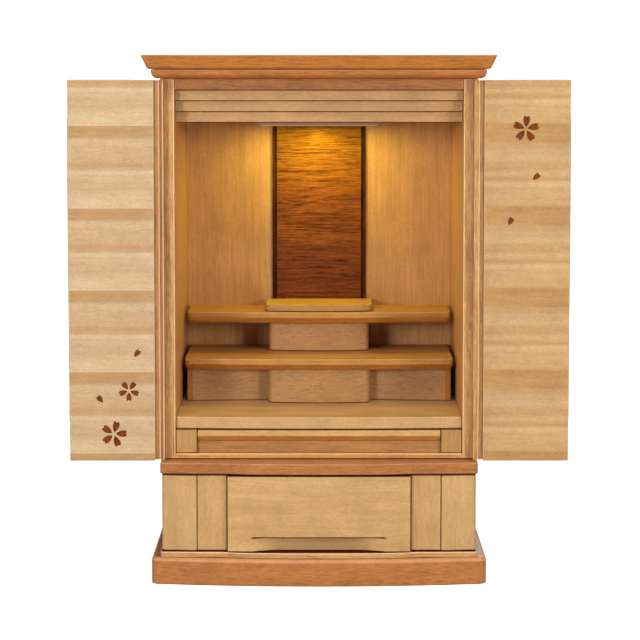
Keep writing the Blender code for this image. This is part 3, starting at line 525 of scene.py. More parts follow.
def build_lamp_body():
    tree, shader, place_on = start_material("lamp_body_paint")
    speck = map_range(tree, drawn_noise(tree, place_on, 0.0012, 1.0), -0.3, 0.3)
    colour = blend(tree, speck, (0.50, 0.32, 0.22), (0.42, 0.26, 0.17))
    set_inputs(tree, shader, Base_Color=colour, Roughness=0.5)


def build_lamp_glow(colour):
    """A frosted lens, brighter over each of its three lights."""
    tree, shader, place_on = start_material("lamp_lens_glow")
    low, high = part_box("lamp_lens")
    turns = calculate(tree, "DIVIDE", part_along(tree, place_on, "X"), (high.x - low.x) * 0.42)
    wave = calculate(tree, "COSINE", calculate(tree, "MULTIPLY", turns, 2 * math.pi))
    glow = blend(tree, map_range(tree, wave, -1.0, 1.0, 0.4, 1.0), tinted(colour, 0.4), colour)
    set_inputs(tree, shader, Emission_Color=glow, Emission_Strength=0.06, Base_Color=(0.62, 0.40, 0.30))
    set_inputs(tree, shader, Roughness=0.35)


# Name, wood, grain direction, seed, grain recipe, and what else differs
TIMBERS = (
    ("crown_timber", "crown", HORIZONTAL, 1, (0.18, 0.28, 0.42, 0.36, 0.30),
     {"Streak_Width": 0.0019, "Wave": 0.006}),
    ("moulding_timber", "walnut", HORIZONTAL, 2, (0.26, 0.30, 0.45, 0.42, 0.30), {"Streak_Width": 0.0019}),
    ("belt_timber", "walnut", HORIZONTAL, 3, (0.28, 0.32, 0.50, 0.45, 0.32), {"Streak_Width": 0.0019}),
    ("plinth_timber", "walnut", HORIZONTAL, 4, (0.20, 0.34, 0.42, 0.42, 0.30), {"Streak_Width": 0.0020}),
    ("post_timber", "post", UPRIGHT, 5, (0.24, 0.30, 0.80, 0.42, 0.40), {"Streak_Width": 0.0019}),
    ("transom_timber", "transom", HORIZONTAL, 6, (0.20, 0.30, 0.60, 0.65, 0.45), {"Streak_Width": 0.0026}),
    ("stile_timber", "stile", UPRIGHT, 7, (0.22, 0.35, 0.60, 0.46, 0.38), {"Streak_Width": 0.0030}),
    ("head_timber", "head", HORIZONTAL, 8, (0.28, 0.20, 0.24, 0.24, 0.12), {}),
    ("floor_timber", "ash", HORIZONTAL, 9, (0.30, 0.25, 0.26, 0.20, 0.10), {}),
    ("tray_timber", "tray", HORIZONTAL, 10, (0.22, 0.25, 0.35, 0.45, 0.25), {}),
    ("shelf_timber", "shelf", HORIZONTAL, 11, (0.20, 0.30, 0.35, 0.45, 0.25), {}),
    ("dais_timber", "dais", HORIZONTAL, 32, (0.20, 0.30, 0.30, 0.20, 0.12), {}),
    ("block_timber", "honey", HORIZONTAL, 12, (0.15, 0.20, 0.38, 0.60, 0.30),
     {"Streak_Width": 0.0020, "Wave": 0.009}),
    ("drawer_timber", "ash", HORIZONTAL, 17, (0.24, 0.42, 0.24, 0.12, 0.08),
     {"Streak_Width": 0.0032, "Wave": 0.006}),
    ("stile_strip_timber", "ash", UPRIGHT, 18, (0.36, 0.28, 0.26, 0.16, 0.08), {}),
    ("flank_timber", "ash", UPRIGHT, 19, (0.30, 0.28, 0.22, 0.16, 0.08), {}),
    ("guide_timber", "guide", UPRIGHT, 20, (0.22, 0.25, 0.30, 0.40, 0.20), {}),
    ("rail_timber", "rail", HORIZONTAL, 29, (0.20, 0.30, 0.45, 0.40, 0.30), {}),
    ("sill_timber", "sill", HORIZONTAL, 30, (0.20, 0.30, 0.45, 0.40, 0.30), {}),
    ("fillet_timber", "post", HORIZONTAL, 31, (0.24, 0.30, 0.50, 0.40, 0.35), {}),
    ("back_timber", "wall", UPRIGHT, 22, (0.22, 0.30, 0.60, 0.22, 0.08),
     {"Streak_Width": 0.0021, "Wave": 0.001}),
    ("rosewood_edge_timber", "rosewood", UPRIGHT, 24, (0.90, 0.20, 0.30, 0.20, 0.30),
     {"coat": 0.0, "specular": 0.05}),
    ("carcass_timber", "stile", UPRIGHT, 26, (0.25, 0.45, 0.55, 0.50, 0.40), {}),
    ("backing_timber", "wall", UPRIGHT, 27, (0.30, 0.60, 0.60, 0.45, 0.35), {}),
    ("drawer_box_timber", "ash", FRONT_TO_BACK, 28, (0.30, 0.30, 0.35, 0.40, 0.25), {}),
)

# Finish of each frame node that keeps its own shape
NODE_FINISHES = {
    "rosewood_edge_timber": ["panel_backing"],
    "carcass_timber": ["base_side_left", "base_side_right"],
    "backing_timber": ["base_back", "base_partition_left", "base_partition_right", "drawer_bottom"],
    "shelf_timber": ["ceiling"],
    "back_timber": ["back_board"],
    "rail_timber": ["tray_rail"],
    "apron_timber": ["apron_left", "apron_right"],
    "stile_timber": ["left_leaf_core", "right_leaf_core", "left_fold_core", "right_fold_core"],
    "side_wall_timber": ["side_panel_left", "side_panel_right"],
    "tray_timber": ["tray_board"],
    "satin_brass": [
        "left_pivot_rod", "right_pivot_rod", "left_hinge_outer", "left_hinge_inner",
        "right_hinge_outer", "right_hinge_inner",
    ],
}


def dress(node, finish):
    """Give a frame node, or a new piece, its finish."""
    if not node.material_slots:
        node.data.materials.append(bpy.data.materials[finish])
    node.material_slots[0].material = bpy.data.materials[finish]


# Modelling helpers


def deselect():
    if bpy.context.mode != "OBJECT":
        bpy.ops.object.mode_set(mode="OBJECT")
    bpy.ops.object.select_all(action="DESELECT")


def take_new(name):
    piece = bpy.context.active_object
    piece.name = name
    piece.data.name = name
    return piece


def make_active(*pieces):
    """Select these pieces alone, with the first as the active one."""
    deselect()
    for piece in pieces:
        piece.select_set(True)
    bpy.context.view_layer.objects.active = pieces[0]


def settle(piece):
    """Move the piece's place into its mesh."""
    make_active(piece)
    bpy.ops.object.transform_apply(location=True, rotation=True, scale=True)


def open_for_edit(piece):
    make_active(piece)
    bpy.ops.object.mode_set(mode="EDIT")


def pick(piece, kind, test):
    """Select the vertices, edges or faces that pass a test, and nothing else."""
    bpy.ops.mesh.select_mode(type=kind)
    bpy.ops.mesh.select_all(action="DESELECT")
    work = bmesh.from_edit_mesh(piece.data)
    items = {"VERT": work.verts, "EDGE": work.edges, "FACE": work.faces}[kind]
    for item in items:
        if test(item):
            item.select_set(True)
    work.select_flush_mode()
    bmesh.update_edit_mesh(piece.data)


def cut_across(x):
    """An edge all round the piece at one x; the threshold keeps cuts that lie close together."""
    bpy.ops.mesh.select_all(action="SELECT")
    bpy.ops.mesh.bisect(plane_co=(x, 0.0, 0.0), plane_no=(1.0, 0.0, 0.0), threshold=MERGE)


def apply_modifier(piece, kind, **settings):
    modifier = piece.modifiers.new(kind.lower(), kind)
    for key, value in settings.items():
        setattr(modifier, key, value)
    make_active(piece)
    bpy.ops.object.modifier_apply(modifier=modifier.name)


def mark_arrises(piece, edge_light_and_shade):
    """Give each face its painted light: above zero a painted highlight towards the edge colour, below zero
    painted shade.
    """
    mark = piece.data.attributes.new(name="arris", type="FLOAT", domain="FACE")
    for face in piece.data.polygons:
        mark.data[face.index].value = edge_light_and_shade(face)


def is_flat(face):
    return max(abs(part) for part in face.normal) >= FLAT


def board_painted_edges(face):
    """A square board's upper and side roundings take a painted highlight towards its edge colour, and the
    lower ones painted shade.
    """
    if is_flat(face):
        return 0.0
    return -1.0 if face.normal.z < -SLOPED else 1.0


def gap_painted_shadow(face):
    """The roundings of a board beside a moving one, or in a recess, take painted shadow."""
    return 0.0 if is_flat(face) else -1.0


# Painted highlight on a slab's upward-sloping roundings
def slab_painted_highlight(face, highlight=0.45):
    return highlight if SLOPED < face.normal.z < LEVEL else 0.0


def foot_painted_shade(face):
    """As on any slab, with painted shade along its foot."""
    return -1.0 if -LEVEL < face.normal.z < -SLOPED else slab_painted_highlight(face)


def belt_painted_light(face):
    """The belt's top gets a paler painted highlight; elsewhere it is a slab with painted shade along its
    foot.
    """
    return 0.55 if face.normal.z >= LEVEL else foot_painted_shade(face)


def fillet_shadow_and_highlight(face):
    """Painted shadow lies on top, along the drawer's foot, and the rounding before it gets a painted
    highlight.
    """
    return -1.0 if face.normal.z >= LEVEL else slab_painted_highlight(face, 1.0)


# A stronger painted highlight on the plinth's upper rounding
def plinth_painted_highlight(face):
    return slab_painted_highlight(face, 0.85)


def dais_darker_edges(face):
    """Painted shade on the lower rounding; the upright edge and its upper rounding are darker than the top.
    """
    if face.normal.z < -SLOPED:
        return -1.0
    return 0.0 if face.normal.z >= LEVEL else -0.34


def finish_piece(piece, finish, body, slot, *nodes):
    """Close a modelled piece: faces out, smooth over its roundings, its finish and its body."""
    open_for_edit(piece)
    bpy.ops.mesh.select_all(action="SELECT")
    bpy.ops.mesh.remove_doubles(threshold=MERGE)
    bpy.ops.mesh.normals_make_consistent(inside=False)
    make_active(piece)
    bpy.ops.object.shade_smooth_by_angle(angle=CREASE)
    apply_modifier(piece, "WEIGHTED_NORMAL", keep_sharp=True, weight=80)
    dress(piece, finish)
    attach(piece, body)
    if nodes:
        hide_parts(*nodes)


def add_box(name, low, high):
    """A box between two corners, from a primitive."""
    deselect()
    bpy.ops.mesh.primitive_cube_add(size=1.0, location=(low + high) / 2)
    piece = take_new(name)
    piece.scale = high - low
    settle(piece)
    return piece


def eased_board(name, node, radius, steps, edge_light_and_shade=board_painted_edges):
    """A plain board in the place of a frame node, with its edges rounded."""
    piece = add_box(name, *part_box(node))
    open_for_edit(piece)
    bpy.ops.mesh.select_all(action="SELECT")
    bpy.ops.mesh.bevel(offset=radius, segments=steps, affect="EDGES")
    deselect()
    mark_arrises(piece, edge_light_and_shade)
    return piece


def front_line(node, corner):
    """The frame node's foremost line in plan, as (x, y) from left to right, without its corners."""
    low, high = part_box(node)
    points = [vertex.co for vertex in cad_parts[node].data.vertices]
    level = min(points, key=lambda point: point.y).z
    middle = (low.y + high.y) / 2
    line = {}
    for x, y, z in points:
        inside = low.x + corner + TINY < x < high.x - corner - TINY
        if inside and abs(z - level) < TINY and y < middle:
            line[round(x, 4)] = y
    return sorted(line.items())


def lay_outline(name, node, corner, corner_steps, straight):
    """A flat face in the plan of a frame node: its front line, round front corners, square back."""
    low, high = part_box(node)
    deselect()
    middle = (low + high) / 2
    bpy.ops.mesh.primitive_plane_add(size=1.0, location=(middle.x, middle.y, low.z))
    piece = take_new(name)
    piece.scale = (high.x - low.x, high.y - low.y, 1.0)
    settle(piece)
    line = [] if straight else front_line(node, corner)
    open_for_edit(piece)
    for x, _ in line:
        cut_across(x)
    if line:
        slope = (line[-1][1] - line[-2][1]) / (line[-1][0] - line[-2][0])
        tip = line[-1][1] + slope * (high.x - line[-1][0])
        line = [(low.x, tip)] + line + [(high.x, tip)]
    for x, y in line:
        pick(piece, "VERT", lambda v: abs(v.co.x - x) < 2 * TINY and v.co.y < middle.y)
        bpy.ops.transform.translate(value=(0.0, y - low.y, 0.0))
    ends = (low.x, high.x)
    pick(piece, "VERT", lambda v: min(abs(v.co.x - x) for x in ends) < TINY and v.co.y < middle.y)
    bpy.ops.mesh.bevel(offset=corner, segments=corner_steps, affect="VERTICES")
    return piece


def mould_up(piece, node, levels, ends):
    """Raise the outline through (height, inset) levels; the back stays where it is.

    ends is how much of each inset the two ends take.
    """
    low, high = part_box(node)
    half = (high.x - low.x) / 2
    middle = (high.x + low.x) / 2
    depth = high.y - low.y
    height, inset = levels[0]
    bpy.ops.mesh.select_mode(type="FACE")
    bpy.ops.mesh.select_all(action="SELECT")
    centre = (middle, high.y, low.z)
    bpy.ops.transform.resize(value=(1 - ends * inset / half, 1 - inset / depth, 1.0), center_override=centre)
    for next_height, next_inset in levels[1:]:
        bpy.ops.mesh.extrude_region_move(TRANSFORM_OT_translate={"value": (0.0, 0.0, next_height - height)})
        wide = (half - ends * next_inset) / (half - ends * inset)
        deep = (depth - next_inset) / (depth - inset)
        centre = (middle, high.y, low.z + next_height)
        bpy.ops.transform.resize(value=(wide, deep, 1.0), center_override=centre)
        height, inset = next_height, next_inset


def rise_of(node):
    """Height of a frame node."""
    low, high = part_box(node)
    return high.z - low.z


def quarter_turn(steps):
    """How far a quarter round has risen, and how far it is still in from its edge, at each step."""
    angles = [math.pi / 2 * i / steps for i in range(steps + 1)]
    return [(1 - math.cos(angle), 1 - math.sin(angle)) for angle in angles]


def round_levels(height, foot, top, steps=5):
    """Levels of a slab with a small rounding at its foot and a larger one at its top."""
    turn = quarter_turn(steps)
    lower = [(foot * up, foot * inward) for up, inward in turn]
    return lower + [(height - top * inward, top * up) for up, inward in turn]


def lay_slab(name, node, finish, slot, levels, corner, steps=6, straight=False, ends=1.0, edge_light_and_shade=slab_painted_highlight):
    """A moulded slab in the place of a frame node."""
    piece = lay_outline(name, node, corner, steps, straight)
    mould_up(piece, node, levels, ends)
    bpy.ops.mesh.select_all(action="SELECT")
    bpy.ops.mesh.normals_make_consistent(inside=False)
    deselect()
    mark_arrises(piece, edge_light_and_shade)
    finish_piece(piece, finish, "root", slot, node)


# Operators


class MakeFinishes(bpy.types.Operator):
    """Build the shared grain, board and lacquer groups and every timber, metal and lamp finish"""

    bl_idname = "altar.make_finishes"
    bl_label = "Make Finishes"

    def execute(self, context):
        woods = context.scene.altar_timber
        build_timber_grain()
        build_laid_boards()
        build_lacquer()
        for name, wood, turn, seed, recipe, more in TIMBERS:
            build_timber(woods, name, wood, turn, seed, recipe, **more)
        build_inlay(woods)
        build_apron(woods)
        build_centre_panel(woods)
        build_side_wall(woods)
        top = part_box("left_leaf_facing")[1].z
        build_door_veneer("left", woods, top + 0.0427, 14)
        build_door_veneer("right", woods, top + 0.0456, 15)
        build_brass()
        build_lamp_body()
        build_lamp_glow(context.scene.altar_studio.lamp_colour)
        return {"FINISHED"}


class DressFrame(bpy.types.Operator):
    """Give every frame node that keeps its shape its timber or metal"""

    bl_idname = "altar.dress_frame"
    bl_label = "Dress Frame"

    def execute(self, context):
        for finish, names in NODE_FINISHES.items():
            for name in names:
                dress(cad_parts[name], finish)
        return {"FINISHED"}


# New name, node, arris, finish, slot
FRONT_BOARDS = (
    ("left_post", "post_left", "post", "post_timber", "walnut_brown"),
    ("right_post", "post_right", "post", "post_timber", "walnut_brown"),
    ("top_transom", "transom", "board", "transom_timber", "walnut_brown"),
    ("upper_head_board", "head_board_1", "board", "head_timber", "light_ash"),
    ("middle_head_board", "head_board_2", "board", "head_timber", "light_ash"),
    ("lower_head_board", "head_board_3", "board", "head_timber", "light_ash"),
    ("front_sill", "sill", "post", "sill_timber", "reddish_walnut"),
    ("left_tray_guide", "tray_guide_left", "facing", "guide_timber", "light_ash"),
    ("right_tray_guide", "tray_guide_right", "facing", "guide_timber", "light_ash"),
    ("dark_centre_panel", "centre_panel", "facing", "rosewood_timber", "dark_rosewood"),
    ("lamp_housing", "lamp_bar", "board", "lamp_body_paint", "lamp_body"),
    ("lamp_diffuser", "lamp_lens", "facing", "lamp_lens_glow", "lamp_lens"),
)
DOOR_BOARDS = (("first_facing", "leaf_facing", "leaf"), ("second_facing", "fold_facing", "fold"))
# Across a leaf's stile, from its pivoted edge: where each bead starts, its width and its height
STILE_BEADS = {
    "left": ((0.0002, 0.0022, 0.0013), (0.0048, 0.0022, 0.0013)),
    "right": ((0.0050, 0.0018, 0.0014),),
}
# The left strip's darker, redder timber is painted shade; the right strip shows the paler wood
STILE_FINISHES = {"left": "stile_timber", "right": "post_timber"}
DRAWER_BOARDS = ("drawer_side_left", "drawer_side_right", "drawer_back")


class MakeBoards(bpy.types.Operator):
    """Model the plain boards of the front, the doors and the drawer with softly rounded edges"""

    bl_idname = "altar.make_boards"
    bl_label = "Make Boards"

    def execute(self, context):
        edges = context.scene.altar_edges
        for name, node, arris, finish, slot in FRONT_BOARDS:
            # Painted shadow on the tray guides' roundings; painted highlight and shade on the other boards
            edge_light_and_shade = gap_painted_shadow if finish == "guide_timber" else board_painted_edges
            piece = eased_board(name, node, getattr(edges, arris), edges.steps, edge_light_and_shade)
            finish_piece(piece, finish, "root", slot, node)
        for _, label in SIDES:
            for name, node, body in DOOR_BOARDS:
                piece = eased_board(f"{label}_{name}", f"{label}_{node}", edges.facing, edges.steps)
                body_name = f"{label}_{body}"
                finish_piece(piece, f"{label}_veneer", body_name, "light_ash", f"{label}_{node}")
        for node in DRAWER_BOARDS:
            piece = eased_board(node.replace("drawer", "drawer_box"), node, edges.board, edges.steps)
            finish_piece(piece, "drawer_box_timber", "drawer", "light_ash", node)
        return {"FINISHED"}


class MakeStileMouldings(bpy.types.Operator):
    """Model the beaded strip that runs up each leaf's pivoted edge"""

    bl_idname = "altar.make_stile_mouldings"
    bl_label = "Make Stile Mouldings"

    ground: length_property("Ground", "Thickness of the strip between its beads", 0.0003)
    gap: length_property("Gap", "Between the strip and the facing", 0.0003)
    bead_steps: IntProperty(name="Bead steps", description="Faces across one bead", default=8)

    def execute(self, context):
        for side, label in SIDES:
            low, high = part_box(f"{label}_leaf_core")
            near = low.x if side > 0 else high.x
            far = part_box(f"{label}_leaf_facing")[0 if side > 0 else 1].x
            ends = sorted((near, far - side * self.gap))
            back = low.y - TINY
            front = Vector((ends[0], back - self.ground, low.z))
            piece = add_box(f"{label}_stile_moulding", front, Vector((ends[1], back, high.z)))
            self.raise_beads(piece, near, side, label, front.y)
            mark_arrises(piece, lambda face: self.bead_painted_light(face, near, side))
            finish_piece(piece, STILE_FINISHES[label], f"{label}_leaf", "reddish_walnut")
        return {"FINISHED"}

    def bead_painted_light(self, face, near, side):
        """Beads get a painted highlight; the left groove, the right strip's outer part and, more faintly, the
        rest of the left strip get painted shade.
        """
        if abs(face.normal.x) > 0.05 and face.normal.y < -0.3:
            return 1.0
        along = (face.center.x - near) * side
        if side > 0:
            return -0.3 if along > 0.0068 else 0.0
        return -0.45 if 0.0024 < along < 0.0048 else -0.12

    def raise_beads(self, piece, near, side, label, front_y):
        heights = {}
        for start, width, height in STILE_BEADS[label]:
            for i in range(self.bead_steps + 1):
                angle = math.pi * i / self.bead_steps
                along = start + width * (1 - math.cos(angle)) / 2
                heights[near + side * along] = height * math.sin(angle)
        open_for_edit(piece)
        for x in heights:
            cut_across(x)
        for x, height in heights.items():
            pick(piece, "VERT", lambda v: abs(v.co.x - x) < MERGE and abs(v.co.y - front_y) < TINY)
            bpy.ops.transform.translate(value=(0.0, -height, 0.0))
        deselect()


class MakeCrown(bpy.types.Operator):
    """Model the crown: a raked board, rounded under, over a quarter-round moulding"""

    bl_idname = "altar.make_crown"
    bl_label = "Make Crown"

    rake: length_property("Rake", "How far the board's edge leans in", 0.0059)
    under: length_property("Under", "How far its foot turns in further", 0.0050)
    foot: length_property("Foot", "Height of the rounding at its foot", 0.0026)
    turn: length_property("Turn", "How far the lower moulding turns in", 0.0070)
    arris: length_property("Arris", "Rounding of upper edges", 0.0009)
    corner: length_property("Corner", "Rounding of front corners in plan", 0.0020)

    def execute(self, context):
        node, slot, arris = "crown_board", "reddish_walnut", self.arris
        height = rise_of(node)
        levels = [(self.foot * up, self.rake + self.under * inward) for up, inward in quarter_turn(5)]
        levels += [(height - arris, 0.0), (height - arris * 0.3, arris * 0.3), (height, arris)]
        lay_slab("crown_top_board", node, "crown_timber", slot, levels, self.corner, 4, straight=True)
        node = "crown_moulding"
        height = rise_of(node)
        levels = [((height - 2 * arris) * up, self.turn * inward) for up, inward in quarter_turn(8)]
        levels += [(height - arris * 0.4, arris * 0.3), (height, arris)]
        lay_slab("crown_under_moulding", node, "moulding_timber", slot, levels, self.corner, 4, straight=True)
        return {"FINISHED"}


class MakeBase(bpy.types.Operator):
    """Model the plinth, its fillet and the belt"""

    bl_idname = "altar.make_base"
    bl_label = "Make Base"

    plinth_round: length_property("Plinth rounding", "Rounding of the plinth's upper edge", 0.0045)
    foot_round: length_property("Foot rounding", "Rounding of the plinth's foot", 0.0020)
    plinth_corner: length_property("Plinth corner", "Rounding of the plinth's corners in plan", 0.0075)
    arris: length_property("Arris", "Rounding of the belt and the fillet", 0.0014)
    corner: length_property("Corner", "Rounding of the belt's corners in plan", 0.0040)

    def execute(self, context):
        slot = "reddish_walnut"
        levels = round_levels(rise_of("plinth"), self.foot_round, self.plinth_round)
        corner = self.plinth_corner
        lay_slab("plinth_board", "plinth", "plinth_timber", slot, levels, corner, 8, edge_light_and_shade=plinth_painted_highlight)
        node = "plinth_fillet"
        levels = [(0.0, 0.0)] + round_levels(rise_of(node), 0.0, self.arris, 4)[5:]
        lay_slab("plinth_upper_fillet", node, "fillet_timber", slot, levels, self.corner, edge_light_and_shade=fillet_shadow_and_highlight)
        levels = round_levels(rise_of("belt"), self.arris / 2, self.arris, 4)
        lay_slab("belt_board", "belt", "belt_timber", slot, levels, self.corner, edge_light_and_shade=belt_painted_light)
        return {"FINISHED"}


class MakeDrawerFront(bpy.types.Operator):
    """Model the drawer's bowed front as one sheet, pressed in at the finger pull, and its thickness"""

    bl_idname = "altar.make_drawer_front"
    bl_label = "Make Drawer Front"

    pull_half: length_property("Pull half-width", "Half of the pull's full depth", 0.0440)
    pull_sweep: length_property("Pull sweep", "Width over which each end of the pull runs out", 0.0345)
    pull_depth: length_property("Pull depth", "Depth of the pull", 0.0100)
    pull_height: length_property("Pull height", "From the drawer's foot to the pull's upper lip", 0.0165)
    lip: length_property("Lip", "Rounding of the pull's upper lip", 0.0011)
    arris: length_property("Arris", "Rounding of the front's edges", 0.0008)
    columns: IntProperty(name="Columns", description="Strips across the drawer's front", default=72)

    def execute(self, context):
        low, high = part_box("drawer_front")
        deselect()
        bpy.ops.mesh.primitive_plane_add(size=1.0, location=(0.0, low.y, (low.z + high.z) / 2))
        piece = take_new("drawer_bowed_front")
        piece.scale = (high.x - low.x, high.z - low.z, 1.0)
        piece.rotation_euler = (math.pi / 2, 0.0, 0.0)
        settle(piece)
        xs = [low.x + (high.x - low.x) * i / self.columns for i in range(self.columns + 1)]
        lip_z = low.z + self.pull_height
        rows = {lip_z - self.lip: 1.0, lip_z - self.lip * 0.4: 0.93, lip_z: 0.5}
        rows[lip_z - self.lip * 2.2] = 1.0
        rows[lip_z - self.lip * 6.0] = 0.97
        rows[lip_z + self.lip * 0.5] = 0.08
        rows[lip_z + self.lip * 1.2] = 0.0
        open_for_edit(piece)
        for x in xs[1:-1]:
            cut_across(x)
        for z in rows:
            bpy.ops.mesh.select_all(action="SELECT")
            bpy.ops.mesh.bisect(plane_co=(0.0, 0.0, z), plane_no=(0.0, 0.0, 1.0))
        rows[low.z] = 0.90
        bow = self.read_bow()
        for x in xs:
            pick(piece, "VERT", lambda v: abs(v.co.x - x) < TINY)
            bpy.ops.transform.translate(value=(0.0, bow * (x / high.x) ** 4, 0.0))
            run = (self.pull_half + self.pull_sweep - abs(x)) / self.pull_sweep
            if run <= 0:
                continue
            sweep = math.sin(min(run, 1.0) * math.pi / 2)
            for z, share in rows.items():
                pick(piece, "VERT", lambda v: abs(v.co.x - x) < TINY and abs(v.co.z - z) < TINY)
                bpy.ops.transform.translate(value=(0.0, self.pull_depth * sweep * share, 0.0))
        self.thicken(piece, high.y)
        mark_arrises(piece, lambda face: self.pull_shade(face, lip_z))
        finish_piece(piece, "drawer_timber", "drawer", "light_ash", "drawer_front")
        return {"FINISHED"}

    def pull_shade(self, face, lip_z):
        """Painted shade in the pull, deepest under its lip and fading at its ends, with painted shadow on the
        front's sloped edges.
        """
        run = (self.pull_half + self.pull_sweep * 0.6 - abs(face.center.x)) / (self.pull_sweep * 0.6)
        if face.normal.z < FLAT and abs(face.normal.z) > 0.1 and face.center.y < -0.12:
            return -1.0
        if run <= 0 or face.center.z > lip_z or abs(face.normal.y) < 0.2:
            return 0.0
        below = (lip_z - face.center.z) / self.pull_height
        return -min(run, 1.0) * (0.55 if below < 0.16 else 0.34 if below < 0.42 else 0.20)

    def read_bow(self):
        """How much further back the frame's drawer front is at its ends than in its middle."""
        line = front_line("drawer_front", 0.0)
        return (line[0][1] + line[-1][1]) / 2 - min(y for _, y in line)

    def thicken(self, piece, back):
        bpy.ops.mesh.select_mode(type="FACE")
        bpy.ops.mesh.select_all(action="SELECT")
        bpy.ops.mesh.extrude_region_move(TRANSFORM_OT_translate={"value": (0.0, back, 0.0)})
        bpy.ops.transform.resize(value=(1.0, 0.0, 1.0), center_override=(0.0, back, 0.0))
        bpy.ops.mesh.dissolve_limited(angle_limit=math.radians(1))
        front = back - TINY
        pick(piece, "EDGE", lambda e: e.calc_face_angle(0.0) > 1.0 and max(v.co.y for v in e.verts) < front)
        bpy.ops.mesh.bevel(offset=self.arris, segments=3, affect="EDGES")
        deselect()


class MakeBaseStrips(bpy.types.Operator):
    """Model the two upright strips each side of the drawer, the outer one with a rounded corner"""

    bl_idname = "altar.make_base_strips"
    bl_label = "Make Base Strips"

    arris: length_property("Arris", "Rounding of the strips' edges", 0.0008)
    corner: length_property("Corner", "Rounding of the outer corner", 0.0040)

    def execute(self, context):
        steps = context.scene.altar_edges.steps
        for side, label in SIDES:
            stile = eased_board(f"{label}_base_stile", f"base_stile_{label}", self.arris, steps, gap_painted_shadow)
            finish_piece(stile, "stile_strip_timber", "root", "light_ash", f"base_stile_{label}")
            flank = self.model_flank(side, f"{label}_base_flank", f"base_flank_{label}")
            finish_piece(flank, "flank_timber", "root", "light_ash", f"base_flank_{label}")
        return {"FINISHED"}

    def model_flank(self, side, name, node):
        low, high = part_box(node)
        outer = high.x if side > 0 else low.x
        line = front_line(node, 0.0)
        turn = abs(outer) - self.corner
        fall = min(line, key=lambda point: abs(abs(point[0]) - turn))[1] - low.y
        piece = add_box(name, low, high)
        open_for_edit(piece)
        pick(piece, "VERT", lambda v: abs(v.co.x - outer) < TINY and v.co.y < low.y + TINY)
        bpy.ops.transform.translate(value=(0.0, fall, 0.0))
        bpy.ops.mesh.bevel(offset=self.corner, segments=6, affect="EDGES")
        pick(piece, "EDGE", lambda e: e.calc_face_angle(0.0) > 1.0)
        bpy.ops.mesh.bevel(offset=self.arris, segments=3, affect="EDGES")
        deselect()
        # Painted shadow on the flank's top and bottom roundings, along the gaps
        mark_arrises(piece, lambda face: -1.0 if 0.1 < abs(face.normal.z) < FLAT else 0.0)
        return piece


class MakeShelves(bpy.types.Operator):
    """Model the niche floor, the bowed shelves with undercut edges, their blocks and the dais"""

    bl_idname = "altar.make_shelves"
    bl_label = "Make Shelves"

    lip: length_property("Lip", "Height of a shelf's upright edge", 0.0066)
    undercut: length_property("Undercut", "How far a shelf's edge slopes back below", 0.0055)
    arris: length_property("Arris", "Rounding of upper edges", 0.0009)
    foot: length_property("Foot", "Rounding of the foot of the blocks, the dais and the floor", 0.0009)
    shelf_corner: length_property("Shelf corner", "Rounding in plan", 0.0012)
    shelf_ends: number_property("Shelf ends", "Share of the undercut", 0.3)
    block_corner: length_property("Block corner", "Rounding in plan", 0.0060)

    def execute(self, context):
        for name, node in (("lower_shelf_board", "shelf_lower"), ("upper_shelf_board", "shelf_upper")):
            height = rise_of(node)
            levels = [(0.0, self.undercut), (height - self.lip, 0.0)]
            levels += round_levels(height, 0.0, self.arris, 3)[4:]
            corner = self.shelf_corner
            lay_slab(name, node, "shelf_timber", "light_ash", levels, corner, 3, ends=self.shelf_ends)
        for name, node in (("lower_centre_block", "block_lower"), ("upper_centre_block", "block_upper")):
            levels = [(0.0, self.foot), (self.foot, 0.0), (rise_of(node), 0.0)]
            lay_slab(name, node, "block_timber", "light_ash", levels, self.block_corner, 8, edge_light_and_shade=foot_painted_shade)
        levels = round_levels(rise_of("dais"), self.foot, self.arris, 3)
        corner = self.block_corner
        lay_slab("dais_board", "dais", "dais_timber", "light_ash", levels, corner, 8, edge_light_and_shade=dais_darker_edges)
        node = "niche_floor"
        corner = self.arris
        levels = [(0.0, self.foot)] + round_levels(rise_of(node), self.foot, self.arris, 3)[3:]
        lay_slab("niche_floor_board", node, "floor_timber", "light_ash", levels, corner, 2, edge_light_and_shade=foot_painted_shade)
        return {"FINISHED"}


# Each blossom: name, door, centre (x, z), radius, angle of its first petal
BLOSSOMS = (
    ("left_large_blossom", "left", (-0.2416, 0.1782), 0.0156, 75.0),
    ("left_small_blossom", "left", (-0.2236, 0.2296), 0.0123, -90.0),
    ("right_large_blossom", "right", (0.2413, 0.5376), 0.0156, 86.0),
)
# Each loose petal: name, door, centre (x, z), length, direction of its notched end
LOOSE_PETALS = (
    ("left_upper_petal", "left", (-0.2138, 0.2739), 0.0102, 52.0),
    ("left_lower_petal", "left", (-0.2574, 0.2196), 0.0102, 128.0),
    ("right_upper_petal", "right", (0.2537, 0.4817), 0.0102, 42.0),
    ("right_lower_petal", "right", (0.2239, 0.4296), 0.0100, 62.0),
)


